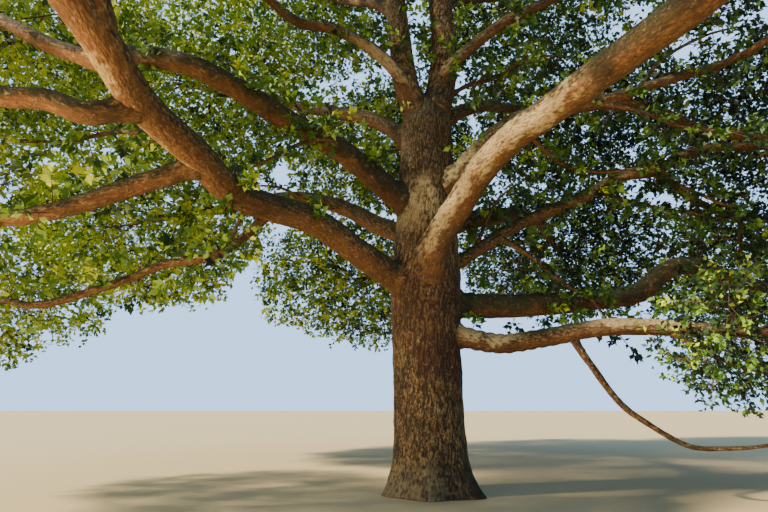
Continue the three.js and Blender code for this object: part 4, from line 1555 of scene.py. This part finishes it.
@dataclass
class Shoots:
    """Leafy shoots along thin branches or out of the bark, with their twigs and leaves."""

    skeleton: Skeleton
    seed: int
    every: float = 0.2
    first: float = 0.12
    longest: float = 0.75
    lengths: tuple[float, float] = (0.4, 1.0)
    flatness: float = 0.6
    ahead: float = 0.8
    of_limb: float = 0.35
    of_tip: float = 0.7
    sprout_root: float = 0.007
    sprout_lengths: tuple[float, float] = (0.5, 1.0)
    sprout_lift: float = 0.3
    sprout_depth: float = 0.9
    sprout_ahead: float = 0.5
    side_every: float = 0.2
    side_first: float = 0.25
    side_last: float = 0.95
    side_shortest: float = 0.3
    side_lengths: tuple[float, float] = (0.16, 0.38)
    side_flatness: float = 0.5
    side_ahead: float = 0.7
    waver: float = 0.25
    sag: float = 0.15
    bend: float = 0.4
    long: float = 0.5
    leafy_from: float = 0.45
    # How much painted light a shoot's leaves get: painted sunlight towards -X and painted shade towards +X.
    mean_light: float = 0.5
    side_light: float = 0.35
    half_crown: float = 11
    light_spread: float = 0.18
    clear: float = 0.01

    def __post_init__(self) -> None:
        """Starts with none."""
        self.draw = np.random.default_rng(self.seed)
        self.sticks, self.leaves = Sticks(), Leaves(self.seed)
        self.starts: list[Array] = []
        self.ends: list[Array] = []

    def twig(self, start: Array, middle: Array, end: Array, root: float, rings: int) -> Bend:
        """Adds one twig.

        Args:
            start: where it starts.
            middle: what it sets out towards.
            end: where it ends.
            root: its radius at the root.
            rings: how many stretches it has.

        Returns:
            Its curve.
        """
        curve = Bend(start, middle, end)
        self.sticks.add(curve, root, root / 2, rings)
        return curve

    def shoot(self, start: Array, heading: Array, length: float, root: float) -> None:
        """Grows one shoot with its side twigs.

        Args:
            start: where it leaves.
            heading: the way that it sets out.
            length: how long it is.
            root: its radius at the root.
        """
        end = start + length * unit(heading + self.draw.normal(0, self.waver, 3) - self.sag * UP)
        middle = start + heading * length * self.bend
        curve = self.twig(start, middle, end, root, 3 if length > self.long else 1)
        self.starts.append(curve.at(self.leafy_from)[0])
        self.ends.append(end)
        every = self.side_every / max(length, self.side_shortest)
        for share in np.arange(self.side_first, self.side_last, every):
            base = curve.at(share)[0]
            ahead = self.side_ahead * curve.heading(np.array([share]))[0]
            side = self.draw.normal(size=3) * [1, 1, self.side_flatness] + ahead
            tip = base + self.draw.uniform(*self.side_lengths) * unit(side)
            self.twig(base, (base + tip) / 2, tip, root / 2, 1)
            self.starts.append(base)
            self.ends.append(tip)

    def along(self, limb: Limb) -> None:
        """Sets shoots along a thin branch, and one at its tip.

        Args:
            limb: the branch.
        """
        for share in np.arange(self.first, 1.0, self.every / limb.length):
            place = limb.curve.at_share([share])[0]
            side = unit(self.draw.normal(size=3) * [1, 1, self.flatness])
            length = self.longest * self.draw.uniform(*self.lengths)
            heading = limb.curve.heading(np.array([share]))[0]
            root = self.of_limb * float(limb.radius(share))
            self.shoot(place, unit(heading * self.ahead + side), length, root)
        tip = limb.curve.at(1.0)[0]
        self.shoot(tip, limb.curve.heading(np.array([1.0]))[0], self.longest, limb.tip * self.of_tip)

    def sprout(self, row: SproutRow) -> None:
        """Sets shoots straight out of a limb's bark.

        Args:
            row: which limb, which stretch of it, how many and how long.
        """
        limb = self.skeleton.limb(row.limb)
        for place in self.draw.uniform(row.first, row.last, row.count):
            share = place / limb.length
            heading = limb.curve.heading(np.array([share]))[0]
            side = unit(np.cross(heading, unit(self.draw.normal(size=3))) + self.sprout_lift * UP)
            start = limb.curve.at_share([share])[0] + self.sprout_depth * float(limb.radius(share)) * side
            length = row.longest * self.draw.uniform(*self.sprout_lengths)
            self.shoot(start, unit(side + self.sprout_ahead * heading), length, self.sprout_root)

    def allowed(self, points: Array) -> Array:
        """Tells which points are inside the tree's box and clear of every limb.

        Args:
            points: the points.

        Returns:
            True for each point that is.
        """
        fits = ((points > BOX_LOW + self.clear) & (points < BOX_HIGH - self.clear)).all(axis=1)
        for limb in self.skeleton.limbs:
            fits[fits] = limb.distance(points[fits]) > self.clear
        return fits

    def finish(self, leaf_finishes: list[Material], twig_finish: Material, name: str) -> None:
        """Deals the shoots their leaves, and makes the two meshes.

        Args:
            leaf_finishes: the materials of the leaves, by tone.
            twig_finish: the material of the twigs.
            name: what the two pieces' names end with.
        """
        starts, ends = np.array(self.starts), np.array(self.ends)
        # Painted light: lighter sprays towards -X, where the key light comes from, and darker towards +X.
        light = self.mean_light - self.side_light * ends[:, 0] / self.half_crown
        light += self.draw.normal(0, self.light_spread, len(ends))
        self.leaves.add(starts, ends, dealt_tones(light))
        self.leaves.keep(self.allowed)
        add_piece(f"twigs_{name}", self.sticks.mesh(twig_finish), "bark")
        add_piece(f"leaves_{name}", self.leaves.mesh(leaf_finishes), "leaf")


def linear(colour: str) -> tuple[float, float, float, float]:
    """An sRGB hex colour as linear light.

    Args:
        colour: the colour, with its hash sign.

    Returns:
        Red, green and blue, and full cover.
    """
    parts = [int(colour[index:index + 2], 16) / 255 for index in (1, 3, 5)]
    red, green, blue = (part / 12.92 if part <= 0.04045 else ((part + 0.055) / 1.055) ** 2.4 for part in parts)
    return red, green, blue, 1.0


def add_node(
    tree: Tree, kind: str, inputs: dict[str | int, object] | None = None, **settings: object
) -> bpy.types.Node:
    """Adds a node to a tree.

    Args:
        tree: the node tree.
        kind: the node's type.
        inputs: for its sockets, by name or number, a value or the output that feeds it.
        settings: its other settings.

    Returns:
        The node.
    """
    node = tree.nodes.new(kind)
    for name, value in settings.items():
        setattr(node, name, value)
    for socket, value in (inputs or {}).items():
        if isinstance(value, Socket):
            tree.links.new(value, node.inputs[socket])
        else:
            node.inputs[socket].default_value = value
    return node


def new_material(name: str) -> tuple[Material, Tree, bpy.types.Node]:
    """A material with its shader and nothing linked to it yet.

    Args:
        name: the material's name.

    Returns:
        The material, its node tree and its Principled shader.
    """
    material = bpy.data.materials.new(name)
    material.use_nodes = True
    tree = material.node_tree
    return material, tree, tree.nodes["Principled BSDF"]


@dataclass(frozen=True)
class PlainFinish:
    """A finish of one colour and one roughness."""

    name: str
    colour: str
    roughness: float

    def make(self) -> Material:
        """The material."""
        material, _, shader = new_material(self.name)
        shader.inputs["Base Color"].default_value = linear(self.colour)
        shader.inputs["Roughness"].default_value = self.roughness
        return material


@dataclass(frozen=True)
class LeafFinish(PlainFinish):
    """A summer oak leaf: a thin waxy blade, so a soft sheen lies over the green and no light is mirrored."""

    roughness: float = 0.55


@dataclass(frozen=True)
class TwigFinish(PlainFinish):
    """Young oak bark: smooth, dry and grey-brown, so the twigs read as dark lines against the leaves."""

    name: str = "oak_twig_bark"
    colour: str = "#5d4632"
    roughness: float = 0.85


# Painted sunlit and painted shaded copies of the summer green, from the lightest to the darkest.
LEAF_FINISHES = {
    Tone.SUNLIT: LeafFinish("oak_leaf_sunlit", "#b2c430"),
    Tone.LIGHT: LeafFinish("oak_leaf_light", "#789c2a"),
    Tone.MID: LeafFinish("oak_leaf_mid", "#466d1a"),
    Tone.DEEP: LeafFinish("oak_leaf_deep", "#28471a"),
    Tone.SHADED: LeafFinish("oak_leaf_shaded", "#182a0f"),
}


@dataclass(frozen=True)
class BarkFinish:
    """Old oak bark: dry corky ridges over dark furrows.

    The eye sees no gloss, grey-brown crests, almost black furrows, pale crusts of lichen and a green-black
    algal film in patches. Over them lie a warm painted bounce light on the undersides and painted shade with
    the algal film on the upward faces. On stretches that face given ways lie straw-pale painted sunlight,
    red-brown painted shade, and mosses with painted shade. Lengths are in metres. A share is how strongly a
    cover shows at most, and an edge is between which values of its noise, slope or height it fades in.
    """

    name: str = "oak_bark"
    roughness: float = 0.92
    furrow: str = "#1f170f"
    flank: str = "#4e3a21"
    ridge: str = "#8a6e44"
    crest: str = "#a98b5e"
    heights: tuple[float, float, float, float] = (0.16, 0.5, 0.78, 0.98)
    # Painted bounce light: a warm orange-brown on faces that turn down, as if thrown up by the floor.
    painted_bounce: str = "#80522a"
    under_edge: tuple[float, float] = (0.05, -0.45)
    painted_bounce_share: float = 0.6
    # An algal film in random patches. On upward faces, the algal film with painted shade.
    algae_and_shade: str = "#33361c"
    algae_patch: float = 0.6
    algae_edge: tuple[float, float] = (0.42, 0.62)
    film_share: float = 0.3
    over_edge: tuple[float, float] = (0.1, 0.6)
    top_algae_and_shade_share: float = 0.75
    # Mosses with painted shade: a dark green-brown, real mosses on some stretches and painted leaf shade on
    # others.
    moss_and_shade: str = "#2c3016"
    moss_and_shade_share: float = 0.7
    # Painted shade: a dark warm brown on stretches turned from the key light and round the crotches.
    painted_shade: str = "#3d1d12"
    painted_shade_share: float = 0.8
    # Painted sunlight: a pale straw colour on the ridges of stretches turned to the key light.
    painted_sunlight: str = "#d2bd8a"
    sunlit_ridge_edge: tuple[float, float] = (-0.1, 0.65)
    painted_sunlight_share: float = 0.9
    lichen: str = "#bdb08c"
    lichen_patch: float = 0.07
    lichen_edge: tuple[float, float] = (0.6, 0.7)
    lichen_share: float = 0.6
    stained: str = "#6b5846"
    stain: float = 0.9
    stain_edge: tuple[float, float] = (0.4, 0.65)
    stain_share: float = 0.35
    patch_detail: float = 4.0
    patch_roughness: float = 0.6
    flake_width: float = 0.026
    flake_stretch: float = 2.0
    flake_edge: tuple[float, float] = (0.32, 0.68)
    flake_detail: float = 3.0
    flake_share: float = 0.5
    flake_height: float = 0.008
    grain_width: float = 0.006
    grain_stretch: float = 4.0
    grain_scale: float = 0.35
    grain_detail: float = 5.0
    grain_height: float = 0.003

    def make(self) -> Material:
        """The material."""
        material, tree, shader = new_material(self.name)
        height = add_node(tree, "ShaderNodeAttribute", attribute_name="ridge").outputs["Fac"]
        flakes = self.flakes(tree)
        inputs = {0: flakes, 1: self.flake_share, 2: self.product(tree, height, 1 - self.flake_share)}
        ridge = add_node(tree, "ShaderNodeMath", inputs, operation="MULTIPLY_ADD").outputs[0]
        place = add_node(tree, "ShaderNodeTexCoord").outputs["Object"]
        colour = self.ridge_colour(tree, ridge)
        for cover, share in self.covers(tree, place, ridge):
            colour = self.over(tree, colour, cover, share)
        blotch = self.patches(tree, place, self.stain, self.stain_edge)
        colour = self.over(tree, colour, self.stained, self.product(tree, blotch, self.stain_share), "MULTIPLY")
        tree.links.new(colour, shader.inputs["Base Color"])
        shader.inputs["Roughness"].default_value = self.roughness
        tree.links.new(self.grain(tree, flakes), shader.inputs["Normal"])
        return material

    def ridge_colour(self, tree: Tree, ridge: Socket) -> Socket:
        """The bark's colour by its height.

        Args:
            tree: the material's node tree.
            ridge: the height.

        Returns:
            The colour.
        """
        ramp = add_node(tree, "ShaderNodeValToRGB", {0: ridge})
        stops = ramp.color_ramp.elements
        stops[0].position, stops[0].color = self.heights[0], linear(self.furrow)
        stops[1].position, stops[1].color = self.heights[3], linear(self.crest)
        for position, colour in zip(self.heights[1:3], (self.flank, self.ridge)):
            stops.new(position).color = linear(colour)
        return ramp.outputs["Color"]

    def covers(self, tree: Tree, place: Socket, ridge: Socket) -> list[tuple[str, Socket]]:
        """What lies over the bark's own colour, the lowest first: painted bounce light on the undersides, an
        algal film in patches, an algal film with painted shade on the tops, mosses with painted shade, painted
        shade, painted sunlight on the ridges, and lichen.

        Args:
            tree: the material's node tree.
            place: where on the tree the bark is.
            ridge: how high it is.

        Returns:
            The colour of each cover and its share.
        """
        facing = add_node(tree, "ShaderNodeNewGeometry").outputs["Normal"]
        slope = add_node(tree, "ShaderNodeSeparateXYZ", {0: facing}).outputs["Z"]
        # Each corner's shares of painted sunlight, painted shade and mosses with painted shade.
        painted_light_and_moss = add_node(tree, "ShaderNodeAttribute", attribute_name="painted_light_and_moss").outputs["Vector"]
        sunlit_mask, shade_mask, moss_and_shade_mask = add_node(tree, "ShaderNodeSeparateXYZ", {0: painted_light_and_moss}).outputs
        # Painted sunlight, on the ridges only.
        sunlit_ridges = self.product(tree, sunlit_mask, self.band(tree, ridge, self.sunlit_ridge_edge))
        crust = self.product(tree, self.patches(tree, place, self.lichen_patch, self.lichen_edge), ridge)
        rows = (
            # Painted bounce light on faces that turn down.
            (self.painted_bounce, self.band(tree, slope, self.under_edge), self.painted_bounce_share),
            (self.algae_and_shade, self.patches(tree, place, self.algae_patch, self.algae_edge), self.film_share),
            # An algal film with painted shade on upward faces.
            (self.algae_and_shade, self.band(tree, slope, self.over_edge), self.top_algae_and_shade_share),
            # Mosses with painted shade.
            (self.moss_and_shade, moss_and_shade_mask, self.moss_and_shade_share),
            # Painted shade.
            (self.painted_shade, shade_mask, self.painted_shade_share),
            # Painted sunlight on the ridges.
            (self.painted_sunlight, sunlit_ridges, self.painted_sunlight_share),
            (self.lichen, crust, self.lichen_share),
        )
        return [(colour, self.product(tree, share, most)) for colour, share, most in rows]

    def band(self, tree: Tree, value: Socket, edge: tuple[float, float]) -> Socket:
        """A smooth rise from 0 to 1 as the value goes from one end of the edge to the other."""
        inputs = {"Value": value, "From Min": edge[0], "From Max": edge[1]}
        return add_node(tree, "ShaderNodeMapRange", inputs, interpolation_type="SMOOTHSTEP").outputs["Result"]

    def patches(self, tree: Tree, place: Socket, size: float, edge: tuple[float, float]) -> Socket:
        """Soft-edged patches, where a noise rises over an edge.

        Args:
            tree: the material's node tree.
            place: where on the tree the bark is.
            size: how large the patches are.
            edge: between which values of the noise they fade in.

        Returns:
            The patches' share.
        """
        inputs = {
            "Vector": place, "Scale": 1 / size, "Detail": self.patch_detail, "Roughness": self.patch_roughness,
        }
        return self.band(tree, add_node(tree, "ShaderNodeTexNoise", inputs).outputs["Fac"], edge)

    def product(self, tree: Tree, value: Socket, by: Socket | float) -> Socket:
        """Two shares multiplied."""
        return add_node(tree, "ShaderNodeMath", {0: value, 1: by}, operation="MULTIPLY").outputs[0]

    def over(self, tree: Tree, below: Socket, colour: str, share: Socket, way: str = "MIX") -> Socket:
        """Lays a colour over another.

        Args:
            tree: the material's node tree.
            below: the colour below.
            colour: the colour laid over it.
            share: how strongly it shows.
            way: the kind of blend.

        Returns:
            The blended colour.
        """
        node = add_node(tree, "ShaderNodeMix", {0: share}, data_type="RGBA", blend_type=way)
        tree.links.new(below, node.inputs[6])
        node.inputs[7].default_value = linear(colour)
        return node.outputs[2]

    def along(self, tree: Tree, width: float, stretch: float) -> Socket:
        """Places round and along the limb.

        Args:
            tree: the material's node tree.
            width: what counts as one across the limb.
            stretch: how many times longer it is along the limb.

        Returns:
            The places, in those widths.
        """
        place = add_node(tree, "ShaderNodeAttribute", attribute_name="grain").outputs["Vector"]
        scale = (1 / width, 1 / width, 1 / (width * stretch))
        return add_node(tree, "ShaderNodeMapping", {"Vector": place, "Scale": scale}).outputs["Vector"]

    def flakes(self, tree: Tree) -> Socket:
        """The small flakes that the ridges are broken into.

        Args:
            tree: the material's node tree.

        Returns:
            Their share, from 0 between them to 1 on one.
        """
        place = self.along(tree, self.flake_width, self.flake_stretch)
        inputs = {"Vector": place, "Scale": 1.0, "Detail": self.flake_detail, "Roughness": self.patch_roughness}
        return self.band(tree, add_node(tree, "ShaderNodeTexNoise", inputs).outputs["Fac"], self.flake_edge)

    def grain(self, tree: Tree, flakes: Socket) -> Socket:
        """The flakes and the fine grain as bumps: fibres that run along the limb.

        Args:
            tree: the material's node tree.
            flakes: the flakes.

        Returns:
            The bark's normal.
        """
        inputs = {"Height": flakes, "Distance": self.flake_height, "Strength": 1.0}
        raised = add_node(tree, "ShaderNodeBump", inputs).outputs["Normal"]
        place = self.along(tree, self.grain_width, self.grain_stretch)
        inputs = {"Vector": place, "Scale": self.grain_scale, "Detail": self.grain_detail}
        fibres = add_node(tree, "ShaderNodeTexNoise", inputs).outputs["Fac"]
        inputs = {"Height": fibres, "Distance": self.grain_height, "Strength": 1.0, "Normal": raised}
        return add_node(tree, "ShaderNodeBump", inputs).outputs["Normal"]


@dataclass
class Studio:
    """The camera, the lights and the floor."""

    camera_place: tuple[float, float, float] = (-0.8, -10.0, 1.55)
    camera_pitch: float = 104.3
    focal_pixels: float = 555
    picture_width: float = 768
    sensor: float = 36.0
    clip: float = 300.0
    sun_place: tuple[float, float, float] = (-30.0, -8.0, 21.0)
    sun_power: float = 10.0
    sun_softness: float = 4.0
    sun_colour: str = "#ffedd0"
    bounce_place: tuple[float, float, float] = (-9.0, -8.5, 1.0)
    bounce_aim: tuple[float, float, float] = (1.0, -2.0, 7.0)
    bounce_power: float = 320.0
    bounce_size: float = 3.0
    bounce_spread: float = 80.0
    bounce_colour: str = "#ffd8a2"
    sky_light: float = 1.0
    sky_seen: float = 2.2
    sky_colour: str = "#a8cef9"
    floor_size: float = 60.0
    floor_below: float = 0.002
    floor_finish: PlainFinish = PlainFinish("floor_paper", "#cdb98a", 0.9)

    def camera(self) -> None:
        """The camera, where the photograph was taken from."""
        data = bpy.data.cameras.new("camera")
        data.sensor_width = self.sensor
        data.lens = self.sensor * self.focal_pixels / self.picture_width
        data.clip_end = self.clip
        camera = bpy.data.objects.new("camera", data)
        camera.location = self.camera_place
        camera.rotation_euler = (math.radians(self.camera_pitch), 0, 0)
        bpy.context.scene.collection.objects.link(camera)
        bpy.context.scene.camera = camera

    def hang(self, data: bpy.types.Light, place: tuple[float, float, float], aim: Vector) -> None:
        """Hangs a lamp in the studio.

        Args:
            data: the lamp's light.
            place: where it hangs.
            aim: the way that it shines.
        """
        lamp = bpy.data.objects.new(data.name, data)
        lamp.visible_camera = False
        lamp.location = place
        lamp.rotation_euler = aim.to_track_quat("-Z", "Y").to_euler()
        bpy.context.scene.collection.objects.link(lamp)

    def key(self) -> None:
        """The soft warm key light, from the left and a little behind."""
        data = bpy.data.lights.new("key", "SUN")
        data.energy, data.color = self.sun_power, linear(self.sun_colour)[:3]
        data.angle = math.radians(self.sun_softness)
        self.hang(data, self.sun_place, -Vector(self.sun_place))

    def bounce(self) -> None:
        """A broad warm light, low on the left under the crown, as dry ground throws it up."""
        data = bpy.data.lights.new("bounce", "AREA")
        data.energy, data.color = self.bounce_power, linear(self.bounce_colour)[:3]
        data.shape, data.size, data.spread = "DISK", self.bounce_size, math.radians(self.bounce_spread)
        self.hang(data, self.bounce_place, Vector(self.bounce_aim) - Vector(self.bounce_place))

    def floor(self) -> None:
        """A wide pale floor."""
        made = bmesh.new()
        bmesh.ops.create_grid(made, x_segments=1, y_segments=1, size=self.floor_size)
        mesh = bpy.data.meshes.new("floor")
        made.to_mesh(mesh)
        made.free()
        mesh.materials.append(self.floor_finish.make())
        floor = bpy.data.objects.new("floor", mesh)
        floor.location.z = -self.floor_below
        bpy.context.scene.collection.objects.link(floor)

    def sky(self) -> None:
        """A pale even sky."""
        world = bpy.data.worlds.new("sky")
        world.use_nodes = True
        tree = world.node_tree
        tree.nodes["Background"].inputs["Color"].default_value = linear(self.sky_colour)
        seen = add_node(tree, "ShaderNodeLightPath").outputs["Is Camera Ray"]
        inputs = {"Value": seen, "To Min": self.sky_light, "To Max": self.sky_seen}
        strength = add_node(tree, "ShaderNodeMapRange", inputs).outputs["Result"]
        tree.links.new(strength, tree.nodes["Background"].inputs["Strength"])
        bpy.context.scene.world = world

    def build(self) -> None:
        """Sets the studio up."""
        self.camera()
        self.sky()
        self.floor()
        self.key()
        self.bounce()


@dataclass
class Oak:
    """The whole tree."""

    bark: BarkFinish = BarkFinish()
    twig: TwigFinish = TwigFinish()
    near: float = 0.4
    near_samples: int = 60
    shoot_seed: int = 77

    def __post_init__(self) -> None:
        """Grows the skeleton and makes the finishes."""
        self.skeleton = Skeleton()
        self.bark_material, self.twig_material = self.bark.make(), self.twig.make()
        self.leaf_materials = [LEAF_FINISHES[tone].make() for tone in Tone]

    def dress_wood(self) -> None:
        """Covers the trunk, the boughs and the branches with bark."""
        limbs = self.skeleton.limbs + self.skeleton.branches
        for index, limb in enumerate(limbs):
            root = limb.centres[:self.near_samples]
            near = [other for other in limbs[:index] if other.distance(root).min() < self.near]
            if limb is self.skeleton.trunk:
                skin, nodes = TrunkSkin(limb, [], 1), ("trunk",)
            elif limb in self.skeleton.branches:
                skin, nodes = Skin(limb, near, index + 1, fine=False), ()
            else:
                skin, nodes = Skin(limb, near, index + 1, fine=limb.name in NEAR_LIMBS), (f"bough_{limb.name}",)
                skin.folded = FOLDED_LENGTHS.get(limb.name, skin.folded)
            mesh = skin.build()
            mesh.materials.append(self.bark_material)
            add_piece(f"bark_{limb.name}", mesh, "bark", *nodes)

    def grow_foliage(self) -> None:
        """Grows every mass."""
        for mass in self.skeleton.masses:
            foliage = Foliage(self.skeleton, mass)
            foliage.grow()
            node = f"foliage_{mass.name}"
            add_piece(f"twigs_{mass.name}", foliage.sticks.mesh(self.twig_material), "bark", node)
            add_piece(f"leaves_{mass.name}", foliage.leaves.mesh(self.leaf_materials), "leaf", node)

    def grow_shoots(self) -> None:
        """Sets leafy shoots on the branches and on the limbs' bark."""
        shoots = Shoots(self.skeleton, self.shoot_seed)
        for branch in self.skeleton.branches:
            shoots.along(branch)
        for row in SPROUT_ROWS:
            shoots.sprout(row)
        shoots.finish(self.leaf_materials, self.twig_material, "branches")

    def build(self) -> None:
        """Builds every piece."""
        self.dress_wood()
        self.grow_foliage()
        self.grow_shoots()


def main() -> None:
    """Builds the tree, then the studio."""
    logging.basicConfig(level=logging.INFO)
    LOG.info("the frame has %d nodes", len(frame["nodes"]))
    Oak().build()
    Studio().build()


if __name__ == "__main__":
    main()
